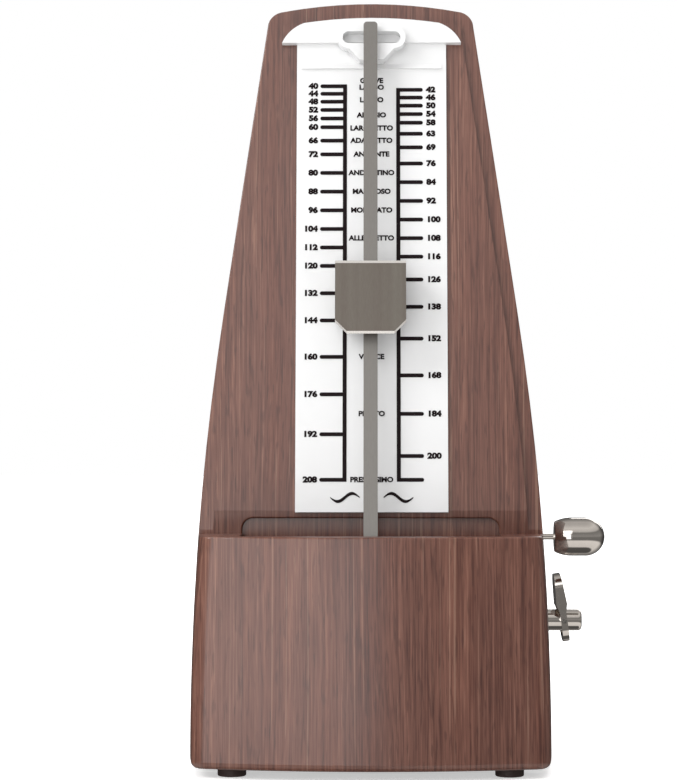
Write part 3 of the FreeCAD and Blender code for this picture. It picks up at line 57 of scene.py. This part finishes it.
class Nodes:
    """Small helper that adds and links the nodes of one material."""

    def __init__(self, name):
        self.material = bpy.data.materials.new(name)
        self.material.use_nodes = True
        self.tree = self.material.node_tree
        self.tree.nodes.clear()
        self.output = self.tree.nodes.new("ShaderNodeOutputMaterial")
        self.shader = self.tree.nodes.new("ShaderNodeBsdfPrincipled")
        self.tree.links.new(self.shader.outputs[0], self.output.inputs[0])
        self.coords = self.tree.nodes.new("ShaderNodeTexCoord").outputs["Object"]

    def link(self, value, socket):
        """A link when value is a socket, a plain constant otherwise."""
        if isinstance(value, bpy.types.NodeSocket):
            self.tree.links.new(value, socket)
        else:
            socket.default_value = value

    def add(self, kind, settings=(), **inputs):
        node = self.tree.nodes.new("ShaderNode" + kind)
        for key, value in dict(settings).items():
            setattr(node, key, value)
        for key, value in inputs.items():
            self.link(value, node.inputs[key.replace("_", " ")])
        return node

    def set(self, **inputs):
        for key, value in inputs.items():
            self.link(value, self.shader.inputs[key.replace("_", " ")])

    def stretched(self, across, along, turn=(0.0, 0.0, 0.0)):
        """Object coordinates scaled per metre: across for X and Y, along for Z."""
        node = self.add("Mapping", Vector=self.coords)
        node.inputs["Scale"].default_value = (across, across, along)
        node.inputs["Rotation"].default_value = turn
        return node.outputs[0]

    def noise(self, vector, scale=1.0, detail=2.0, rough=0.5):
        node = self.add("TexNoise", Vector=vector, Scale=scale, Detail=detail, Roughness=rough)
        return node.outputs[0]

    def ramp(self, factor, stops):
        node = self.add("ValToRGB", Fac=factor)
        fill_ramp(node.color_ramp, stops)
        return node.outputs[0]

    def fade(self, factor, low, high, start=0.0, end=1.0):
        """Maps factor from low..high to start..end, clamped."""
        node = self.add("MapRange", {"clamp": True}, Value=factor)
        node.inputs["From Min"].default_value = low
        node.inputs["From Max"].default_value = high
        node.inputs["To Min"].default_value = start
        node.inputs["To Max"].default_value = end
        return node.outputs[0]

    def math(self, operation, a, b=0.0):
        node = self.tree.nodes.new("ShaderNodeMath")
        node.operation = operation
        self.link(a, node.inputs[0])
        self.link(b, node.inputs[1])
        return node.outputs[0]

    def mix(self, factor, a, b, blend="MIX"):
        node = self.tree.nodes.new("ShaderNodeMix")
        node.data_type = "RGBA"
        node.blend_type = blend
        self.link(factor, node.inputs[0])
        self.link(a if not isinstance(a, tuple) else (*a, 1.0), node.inputs[6])
        self.link(b if not isinstance(b, tuple) else (*b, 1.0), node.inputs[7])
        return node.outputs[2]

    def multiply(self, color, tint, factor):
        """The colour, tinted by as much as factor says."""
        return self.mix(factor, color, self.mix(1.0, color, tint, "MULTIPLY"))

    def bump(self, height, strength, distance):
        node = self.add("Bump", Height=height, Strength=strength, Distance=distance)
        return node.outputs[0]


def srgb(r, g, b):
    """Linear colour from 0-255 display values."""
    def one(v):
        v /= 255.0
        return v / 12.92 if v <= 0.04045 else ((v + 0.055) / 1.055) ** 2.4
    return (one(r), one(g), one(b))


WALNUT_TONES = (
    (0.355, srgb(68, 38, 31)),
    (0.446, srgb(91, 54, 43)),
    (0.50, srgb(101, 63, 51)),
    (0.564, srgb(112, 72, 59)),
    (0.665, srgb(136, 96, 79)),
)
PALE_LINE = srgb(152, 117, 98)
DARK_LINE = srgb(50, 25, 19)
PORE = srgb(54, 28, 22)
RED_TINT = (1.0, 0.80, 0.68)
SHADE_TINT = (0.76, 0.72, 0.735)
TOP_FACING = 0.85                   # faces whose normal rises more than this count as tops
SWAY = 0.006                        # how far a streak wanders sideways, in metres


def grain_plane(m):
    """Coordinates whose second axis runs along the grain on whichever face is being shaded."""
    facing = m.add("SeparateXYZ", Vector=m.add("NewGeometry").outputs["Normal"]).outputs
    faces_side = m.math("GREATER_THAN", m.math("ABSOLUTE", facing[0]), m.math("ABSOLUTE", facing[1]))
    faces_up = m.math("GREATER_THAN", m.math("ABSOLUTE", facing[2]), TOP_FACING)
    place = m.add("SeparateXYZ", Vector=m.coords).outputs
    front = m.add("CombineXYZ", X=place[0], Z=place[2]).outputs[0]
    side = m.add("CombineXYZ", X=place[1], Z=place[2]).outputs[0]
    top = m.add("CombineXYZ", X=place[0], Z=place[1]).outputs[0]
    along_grain = m.mix(faces_up, m.mix(faces_side, front, side), top)
    swayed = m.add("VectorMath", {"operation": "MULTIPLY_ADD"})
    m.link(m.noise(m.stretched(25.0, 5.0), detail=2.0), swayed.inputs[0])
    swayed.inputs[1].default_value = (SWAY, SWAY, 0.0)
    m.link(along_grain, swayed.inputs[2])
    return swayed.outputs[0]


def walnut():
    """Printed walnut film under a clear coat: long streaks, pores, pale and dark lines."""
    m = Nodes("walnut_print")
    plane = grain_plane(m)

    def grain(across, along, shift=0.0, detail=2.0, rough=0.5):
        """Noise with this many cells per metre across and along the grain."""
        node = m.add("Mapping", Vector=plane)
        node.inputs["Scale"].default_value = (across, across, along)
        node.inputs["Location"].default_value = (shift, shift * 0.7, shift)
        return m.noise(node.outputs[0], detail=detail, rough=rough)

    broad = grain(60.0, 2.5)
    streak = grain(520.0, 4.0, 3.1)
    fine = grain(1550.0, 12.0, 7.7, 2.0, 0.55)
    hair = grain(2900.0, 90.0, 1.3, 1.0)
    tone = m.math("MULTIPLY", broad, 0.17)
    for layer, share in ((streak, 0.17), (fine, 0.40), (hair, 0.26)):
        tone = m.math("ADD", tone, m.math("MULTIPLY", layer, share))
    color = m.ramp(tone, WALNUT_TONES)
    redness = grain(120.0, 3.0, 5.5)
    color = m.multiply(color, RED_TINT, m.fade(redness, 0.50, 0.66, 0.0, 0.35))
    pale = grain(1300.0, 2.0, 12.4, 1.0)
    color = m.mix(m.fade(pale, 0.66, 0.71, 0.0, 0.42), color, PALE_LINE)
    dark = grain(1300.0, 3.0, 21.7, 1.0)
    color = m.mix(m.fade(dark, 0.325, 0.28, 0.0, 0.3), color, DARK_LINE)
    pores = grain(1500.0, 160.0, 9.2, 1.0)
    color = m.mix(m.fade(pores, 0.42, 0.30, 0.0, 0.40), color, PORE)
    mottle = m.noise(m.stretched(170.0, 110.0), detail=3.0, rough=0.6)
    color = m.multiply(color, SHADE_TINT, m.fade(mottle, 0.35, 0.65, 0.0, 0.30))
    m.set(Base_Color=color, Specular_IOR_Level=0.3, Coat_Weight=0.8)
    m.set(Roughness=m.fade(fine, 0.3, 0.7, 0.40, 0.50))
    haze = m.noise(m.stretched(60.0, 60.0), detail=4.0)
    m.set(Coat_Roughness=m.fade(haze, 0.3, 0.7, 0.19, 0.24))
    m.set(Normal=m.bump(m.math("ADD", fine, hair), 0.10, 0.0001))
    ripple = m.noise(m.stretched(45.0, 30.0), detail=1.0)
    m.set(Coat_Normal=m.bump(ripple, 0.04, 0.001))
    return m.material


def plastic(name, color, rough, coat=0.0, speck=0.06, bump=0.05, gloss=0.5):
    """Moulded plastic with a faint texture and slight stains."""
    m = Nodes(name)
    cloud = m.noise(m.stretched(90.0, 90.0), detail=5.0, rough=0.6)
    darker = tuple(c * (1.0 - speck) for c in color)
    m.set(Base_Color=m.mix(m.fade(cloud, 0.35, 0.65), color, darker))
    grit = m.noise(m.stretched(2500.0, 2500.0), detail=2.0)
    m.set(Roughness=m.fade(grit, 0.3, 0.7, rough - 0.04, rough + 0.05))
    m.set(Coat_Weight=coat, Coat_Roughness=0.08, Specular_IOR_Level=gloss)
    m.set(Normal=m.bump(grit, bump, 0.00005))
    return m.material


def metal(name, color, rough, grain=(2500.0, 60.0), contrast=0.12, scratches=0.2):
    """Metal with a directional brushing, fine scratches and cloudy handling marks."""
    m = Nodes(name)
    brushed = m.noise(m.stretched(grain[0], grain[1]), detail=3.0, rough=0.65)
    cloud = m.noise(m.stretched(140.0, 140.0), detail=4.0, rough=0.6)
    tone = m.math("ADD", m.math("MULTIPLY", brushed, 0.6), m.math("MULTIPLY", cloud, 0.4))
    low = tuple(c * (1.0 - contrast) for c in color)
    high = tuple(min(1.0, c * (1.0 + contrast)) for c in color)
    m.set(Base_Color=m.mix(m.fade(tone, 0.3, 0.7), low, high))
    m.set(Metallic=1.0)
    m.set(Roughness=m.fade(tone, 0.3, 0.7, rough * 0.8, rough * 1.25))
    scratch = m.noise(m.stretched(900.0, 5200.0, (0.3, 0.2, 0.5)), detail=2.0)
    height = m.math("ADD", brushed, m.math("MULTIPLY", m.fade(scratch, 0.68, 0.72), 0.6))
    m.set(Normal=m.bump(height, scratches, 0.00003))
    return m.material


DULL_LOW = (0.150, 0.128, 0.112)
DULL_HIGH = (0.185, 0.170, 0.148)
# painted highlight on the front bevels: a near-white colour standing in for their bright edge lines
PAINTED_HIGHLIGHT = (0.95, 0.93, 0.90)
FACE_RISE = 0.148                   # upward part of the weight's face normal
STRIP_RISE = 0.1                    # the strips' normals rise or fall from it by more than this
FRONT_FACING = -0.6                 # faces whose normal's Y lies below this count as front ones


def weight_steel():
    """Dull steel face in soft upright bands of painted reflection, with a painted highlight on the
    bevelled strips along its ends, which are also smoother.
    """
    m = Nodes("weight_steel")
    place = m.add("SeparateXYZ", Vector=m.coords).outputs
    # Painted reflection: upright bands across X make the face lighter and darker, as the shading of a
    # curved face would; the brushing adds a real fine texture.
    bands = m.noise(m.add("CombineXYZ", X=place[0]).outputs[0], scale=210.0, detail=2.0)
    brushed = m.noise(m.stretched(3200.0, 60.0), detail=3.0, rough=0.65)
    tone = m.math("ADD", m.math("MULTIPLY", bands, 0.7), m.math("MULTIPLY", brushed, 0.3))
    dull = m.mix(m.fade(tone, 0.35, 0.65), DULL_LOW, DULL_HIGH)
    facing = m.add("SeparateXYZ", Vector=m.add("NewGeometry").outputs["Normal"]).outputs
    forward = m.math("LESS_THAN", facing[1], FRONT_FACING)
    rise = m.math("SUBTRACT", facing[2], FACE_RISE)
    tilted = m.math("GREATER_THAN", m.math("ABSOLUTE", rise), STRIP_RISE)
    # Mask of the front bevels at the top and bottom ends: they get the painted highlight colour and a
    # smoother finish.
    highlight_bevels = m.math("MULTIPLY", forward, tilted)
    m.set(Base_Color=m.mix(highlight_bevels, dull, PAINTED_HIGHLIGHT))
    m.set(Metallic=1.0)
    m.set(Roughness=m.fade(highlight_bevels, 0.0, 1.0, 0.42, 0.16))
    m.set(Normal=m.bump(brushed, 0.1, 0.00003))
    return m.material


MATERIALS = {
    "walnut_case": walnut(),
    "black_plastic": plastic("black_moulded", srgb(34, 27, 24), 0.5, speck=0.2, bump=0.2),
    "dark_feet": plastic("foot_rubber", srgb(46, 27, 23), 0.62, speck=0.2, bump=0.3),
    "white_plastic": plastic("white_moulded", (0.78, 0.78, 0.78), 0.35, coat=0.2, speck=0.015),
    "nickel": metal("polished_nickel", (0.66, 0.62, 0.58), 0.07, (600.0, 600.0), 0.04, 0.05),
    "steel": metal("brushed_steel", (0.235, 0.224, 0.210), 0.42, (3000.0, 50.0), 0.10, 0.12),
    "brass": metal("satin_brass", (0.72, 0.50, 0.20), 0.25, (1800.0, 1800.0), 0.10, 0.15),
    "zinc": metal("zinc_plated", (0.60, 0.60, 0.62), 0.28, (1500.0, 300.0), 0.10, 0.2),
    "spring_steel": metal("blued_steel", (0.20, 0.22, 0.28), 0.22, (2500.0, 2500.0), 0.12, 0.1),
}
PRINT_INK = plastic("print_ink", srgb(26, 17, 19), 0.6, speck=0.1, gloss=0.1)

record = frame["record"]
SLOT_OF = {part["node"]: part["material_slot"] for part in record["subparts"]}
for node_name, node_object in frame["nodes"].items():
    node_object.data.materials.clear()
    node_object.data.materials.append(MATERIALS[SLOT_OF[node_name]])
frame["nodes"]["weight_body"].data.materials[0] = weight_steel()


# ---------------------------------------------------------------- print on the scale plate
def add_object(name, mesh, material, body="case"):
    thing = bpy.data.objects.new(name, mesh)
    bpy.context.scene.collection.objects.link(thing)
    mesh.materials.clear()
    mesh.materials.append(material)
    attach(thing, body)


class MeshBuilder:
    """Collects vertices and faces in the lean frame, then makes one mesh in the CAD's frame."""

    def __init__(self):
        self.vertices = []
        self.faces = []

    def add(self, vertices, faces):
        first = len(self.vertices)
        self.vertices += [LEAN_FRAME @ Vector(v) for v in vertices]
        self.faces += [[first + i for i in face] for face in faces]

    def slab(self, outline):
        """Printed shape on the plate from an (x, z) outline in millimetres."""
        count = len(outline)
        points = [(x * MM, INK_BACK, z * MM) for x, z in outline]
        points += [(x * MM, INK_FRONT, z * MM) for x, z in outline]
        faces = [list(range(count)), list(range(2 * count - 1, count - 1, -1))]
        for i in range(count):
            j = (i + 1) % count
            faces.append([j, i, i + count, j + count])
        self.add(points, faces)

    def mesh(self, name):
        data = bpy.data.meshes.new(name)
        data.from_pydata(self.vertices, [], self.faces)
        data.update()
        return data


INK_T = 0.12 * MM
INK_BACK = PLATE_FACE
INK_FRONT = PLATE_FACE - INK_T


def pill(inner, outer, z, thick):
    """Outline of a tick from x = inner to x = outer, whose outer end is round."""
    half = thick / 2
    side = 1 if outer > inner else -1
    middle = outer - side * half
    points = [(inner, z - side * half)]
    for i in range(TICK_STEPS + 1):
        turn = (i / TICK_STEPS - side / 2) * math.pi
        points.append((middle + half * math.cos(turn), z + half * math.sin(turn)))
    points.append((inner, z + side * half))
    return points


# The marks are spaced as for a pendulum under gravity, in mm and seconds. BALANCE and INERTIA
# stand for the counterweight's moment and the moment of inertia, each per unit of the sliding
# weight's mass. They and WEIGHT_TOP are fitted to a printed scale, not worked out from the modelled parts.
GRAVITY = 9810.0 * math.cos(LEAN)
BALANCE = 143.0
INERTIA = 10250.0
WEIGHT_TOP = 7.1                    # from the weight's effective centre up to its top edge


def tick_height(tempo):
    """Lean-frame height in mm of a tempo's tick: where the weight's top edge must stand."""
    omega = tempo * math.pi / 60.0
    inside = GRAVITY**2 - 4 * omega**2 * (omega**2 * INERTIA - GRAVITY * BALANCE)
    return (-GRAVITY + math.sqrt(inside)) / (2 * omega**2) + WEIGHT_TOP


LEFT_TEMPI = (40, 44, 48, 52, 56, 60, 66, 72, 80, 88, 96, 104, 112, 120, 132, 144, 160, 176, 192, 208)
RIGHT_TEMPI = (42, 46, 50, 54, 58, 63, 69, 76, 84, 92, 100, 108, 116, 126, 138, 152, 168, 184, 200)
FASTEST = LEFT_TEMPI[-1]            # the right bar ends in an unnumbered tick at this tempo
# Millimetres on the plate; the bars, ticks and numbers are measured from its middle.
PRINT_X = 0.3                       # the plate's middle, right of the rod
BAR_IN = 7.15
BAR_OUT = 8.3
TICK_OUT = 14.9
TICK_T = 1.1
TICK_STEPS = 8                      # facets of a tick's round end
LEFT_NUMBERS_X = -15.6
RIGHT_NUMBERS_X = 15.9
NUMBER_STYLE = {"size": 2.2, "stretch": 1.2, "weight": 0.135}
WORD_STYLE = {"size": 2.0, "stretch": 1.08, "weight": 0.085}


def make_scale():
    bars = MeshBuilder()
    ticks = MeshBuilder()
    low = tick_height(FASTEST) - TICK_T / 2
    for side, tempi in ((-1, LEFT_TEMPI), (1, RIGHT_TEMPI + (FASTEST,))):
        top = tick_height(tempi[0]) + TICK_T / 2
        x0, x1 = sorted((PRINT_X + side * BAR_IN, PRINT_X + side * BAR_OUT))
        bars.slab([(x0, low), (x1, low), (x1, top), (x0, top)])
        for tempo in tempi:
            inner = PRINT_X + side * BAR_OUT
            outer = PRINT_X + side * TICK_OUT
            ticks.slab(pill(inner, outer, tick_height(tempo), TICK_T))
    add_object("scale_bars", bars.mesh("scale_bars"), PRINT_INK)
    add_object("scale_ticks", ticks.mesh("scale_ticks"), PRINT_INK)


def lettering(name, items, align, size, stretch, weight):
    """One mesh from many short texts: items are (text, x, height) in lean-frame mm."""
    joined = MeshBuilder()
    middle = (INK_BACK + INK_FRONT) / 2
    for text, x, height in items:
        curve = bpy.data.curves.new("letters", "FONT")
        curve.body = text
        curve.size = size * MM
        curve.align_x = align
        curve.align_y = "CENTER"
        curve.offset = weight * MM
        curve.extrude = INK_T / 2
        curve.resolution_u = 4
        holder = bpy.data.objects.new("letters", curve)
        bpy.context.scene.collection.objects.link(holder)
        bpy.context.view_layer.update()
        evaluated = holder.evaluated_get(bpy.context.evaluated_depsgraph_get())
        shape = bpy.data.meshes.new_from_object(evaluated)
        points = []
        for vertex in shape.vertices:
            px = (PRINT_X + x) * MM + vertex.co.x * stretch
            points.append((px, middle - vertex.co.z, height * MM + vertex.co.y))
        joined.add(points, [list(p.vertices) for p in shape.polygons])
        bpy.data.objects.remove(holder)
        bpy.data.meshes.remove(shape)
        bpy.data.curves.remove(curve)
    add_object(name, joined.mesh(name), PRINT_INK)


# Each word stands at the height of this tempo's tick; a few stand between two ticks.
WORDS = (
    ("GRAVE", 37), ("LARGO", 40.7), ("LENTO", 47.2), ("ADAGIO", 54.5), ("LARGHETTO", 60.5),
    ("ADAGIETTO", 66), ("ANDANTE", 72), ("ANDANTINO", 80), ("MAESTOSO", 88), ("MODERATO", 96),
    ("ALLEGRETTO", 108), ("ANIMATO", 126), ("VIVACE", 160), ("PRESTO", 184), ("PRESTISSIMO", 208),
)


def make_lettering():
    left = [(str(tempo), LEFT_NUMBERS_X, tick_height(tempo)) for tempo in LEFT_TEMPI]
    right = [(str(tempo), RIGHT_NUMBERS_X, tick_height(tempo)) for tempo in RIGHT_TEMPI]
    lettering("numbers_left", left, "RIGHT", **NUMBER_STYLE)
    lettering("numbers_right", right, "LEFT", **NUMBER_STYLE)
    words = [(word, 0.0, tick_height(tempo)) for word, tempo in WORDS]
    lettering("tempo_words", words, "CENTER", **WORD_STYLE)


FLOURISH_Z = 17.0
FLOURISH_START = 3.4                # from the plate's middle
FLOURISH_LENGTH = 8.4
FLOURISH_RISE = 1.15
FLOURISH_THIN = 0.16                # half thickness at the ends
FLOURISH_SWELL = 0.38               # added to it in the middle
FLOURISH_STEPS = 28


def make_ornament():
    """Plain flourish at the foot of the plate, one wave on each side of the rod."""
    flourish = MeshBuilder()
    for side in (-1, 1):
        upper = []
        lower = []
        for i in range(FLOURISH_STEPS + 1):
            share = i / FLOURISH_STEPS
            x = PRINT_X + side * (FLOURISH_START + FLOURISH_LENGTH * share)
            z = FLOURISH_Z + FLOURISH_RISE * math.sin(share * 2 * math.pi)
            half = FLOURISH_THIN + FLOURISH_SWELL * math.sin(math.pi * share)
            upper.append((x, z + half))
            lower.append((x, z - half))
        outline = upper + lower[::-1]
        flourish.slab(outline if side < 0 else outline[::-1])
    add_object("foot_ornament", flourish.mesh("foot_ornament"), PRINT_INK)


make_scale()
make_lettering()
make_ornament()


# ---------------------------------------------------------------- stage, light, camera
FLOOR_HALF = 6.0
GLOW_NEAR = 0.08                    # the floor's glow grows between these distances
GLOW_FAR = 0.50
GLOW_LEAST = 0.5


def make_stage():
    """White paper floor that glows more with distance, so that it ends in a white background."""
    mesh = bpy.data.meshes.new("floor")
    half = FLOOR_HALF
    corners = [(-half, -half, 0.0), (half, -half, 0.0), (half, half, 0.0), (-half, half, 0.0)]
    mesh.from_pydata(corners, [], [(0, 1, 2, 3)])
    floor = bpy.data.objects.new("floor", mesh)
    bpy.context.scene.collection.objects.link(floor)
    m = Nodes("studio_floor")
    fibre = m.noise(m.stretched(300.0, 300.0), detail=4.0)
    m.set(Base_Color=m.mix(fibre, (0.90, 0.90, 0.90), (0.87, 0.87, 0.87)))
    m.set(Roughness=0.9)
    distance = m.add("VectorMath", {"operation": "LENGTH"})
    m.link(m.coords, distance.inputs[0])
    glow = m.fade(distance.outputs["Value"], GLOW_NEAR, GLOW_FAR, GLOW_LEAST, 1.0)
    seen = m.add("LightPath").outputs["Is Camera Ray"]
    m.set(Emission_Color=(1.0, 1.0, 1.0, 1.0))
    m.set(Emission_Strength=m.math("MULTIPLY", glow, seen))
    mesh.materials.append(m.material)
    floor.visible_glossy = False


LIGHT_TARGET = Vector((0.0, -0.02, 0.10))
# Name, place, width and height, radiance, and whether polished parts mirror it.
SOFTBOXES = (
    ("front_left", (-0.42, -1.06, 0.09), (0.98, 0.60), 2.15, True),
    ("upper_front", (-0.22, -1.22, 0.72), (0.62, 0.52), 1.6, True),
    ("upper_left", (-0.95, -0.75, 0.95), (0.55, 0.55), 9.6, True),
    ("rear_fill", (0.55, 1.15, 0.75), (0.8, 0.8), 1.6, True),
    ("overhead", (0.0, 0.15, 1.5), (1.5, 1.5), 2.2, False),
)
ROOM_STRENGTH = 0.5                 # of the room as a light, for everything but mirrored rays
# Brightness of the room as polished parts mirror it, by the sine of the elevation.
ROOM_TONES = (
    (-1.0, 0.10),
    (-0.93, 0.12),
    (-0.88, 0.85),
    (-0.42, 0.95),
    (-0.30, 0.20),
    (-0.05, 0.22),
    (0.05, 0.34),
    (0.40, 0.24),
    (0.52, 0.62),
    (0.80, 0.80),
    (1.0, 0.55),
)
ROOM_GREEN = 0.97                   # of the red, for a slightly warm room
ROOM_BLUE = 0.94
# The mirrored room darkens behind the object, over this range of the direction's Y.
BEHIND_FROM = 0.15
BEHIND_TO = 0.60
BEHIND_SHARE = 0.28


def area_light(name, place, size, radiance, mirrored):
    """Softbox of a given radiance; an area light's power is radiance x area x pi."""
    light = bpy.data.lights.new(name, "AREA")
    light.shape = "RECTANGLE"
    light.size, light.size_y = size
    light.energy = radiance * size[0] * size[1] * math.pi
    lamp = bpy.data.objects.new(name, light)
    lamp.location = place
    aim = LIGHT_TARGET - Vector(place)
    lamp.rotation_euler = aim.to_track_quat("-Z", "Y").to_euler()
    lamp.visible_glossy = mirrored
    bpy.context.scene.collection.objects.link(lamp)


def make_world():
    """White to the camera, evenly grey as a light, and shaded in tones as polished parts see it."""
    world = bpy.data.worlds.new("studio")
    world.use_nodes = True
    tree = world.node_tree
    tree.nodes.clear()

    def backdrop(strength):
        node = tree.nodes.new("ShaderNodeBackground")
        node.inputs["Color"].default_value = (1.0, 1.0, 1.0, 1.0)
        node.inputs["Strength"].default_value = strength
        return node

    def spread(value, low, high, start, end):
        node = tree.nodes.new("ShaderNodeMapRange")
        limits = (("From Min", low), ("From Max", high), ("To Min", start), ("To Max", end))
        for socket, limit in limits:
            node.inputs[socket].default_value = limit
        tree.links.new(value, node.inputs["Value"])
        return node.outputs[0]

    def choose(ray, otherwise, chosen):
        node = tree.nodes.new("ShaderNodeMixShader")
        tree.links.new(path.outputs[ray], node.inputs[0])
        tree.links.new(otherwise.outputs[0], node.inputs[1])
        tree.links.new(chosen.outputs[0], node.inputs[2])
        return node

    path = tree.nodes.new("ShaderNodeLightPath")
    white = backdrop(1.0)
    room = backdrop(ROOM_STRENGTH)
    mirrored = backdrop(1.0)
    direction = tree.nodes.new("ShaderNodeTexCoord")
    split = tree.nodes.new("ShaderNodeSeparateXYZ")
    tree.links.new(direction.outputs["Generated"], split.inputs[0])
    ramp = tree.nodes.new("ShaderNodeValToRGB")
    fill_ramp(ramp.color_ramp, [
        ((height + 1.0) / 2, (tone, tone * ROOM_GREEN, tone * ROOM_BLUE)) for height, tone in ROOM_TONES
    ])
    tree.links.new(spread(split.outputs[2], -1.0, 1.0, 0.0, 1.0), ramp.inputs[0])
    tree.links.new(ramp.outputs[0], mirrored.inputs["Color"])
    behind = spread(split.outputs[1], BEHIND_FROM, BEHIND_TO, 1.0, BEHIND_SHARE)
    tree.links.new(behind, mirrored.inputs["Strength"])
    unseen = choose("Is Glossy Ray", room, mirrored)
    output = tree.nodes.new("ShaderNodeOutputWorld")
    tree.links.new(choose("Is Camera Ray", unseen, white).outputs[0], output.inputs[0])
    bpy.context.scene.world = world


def make_light():
    """Soft studio light, brightest from the front left."""
    make_world()
    for softbox in SOFTBOXES:
        area_light(*softbox)
    bpy.context.scene.view_settings.view_transform = "Standard"


CAMERA_PLACE = Vector((0.0, -0.761, 0.09305))
CAMERA_TARGET = Vector((-0.0091, 0.0, 0.10775))
CAMERA_LENS = 120.0                 # millimetres, on a sensor this wide
CAMERA_SENSOR = 36.0


def make_camera():
    camera = bpy.data.cameras.new("camera")
    camera.lens = CAMERA_LENS
    camera.sensor_width = CAMERA_SENSOR
    view = bpy.data.objects.new("camera", camera)
    view.location = CAMERA_PLACE
    view.rotation_euler = (CAMERA_TARGET - CAMERA_PLACE).to_track_quat("-Z", "Y").to_euler()
    bpy.context.scene.collection.objects.link(view)
    bpy.context.scene.camera = view


make_stage()
make_light()
make_camera()
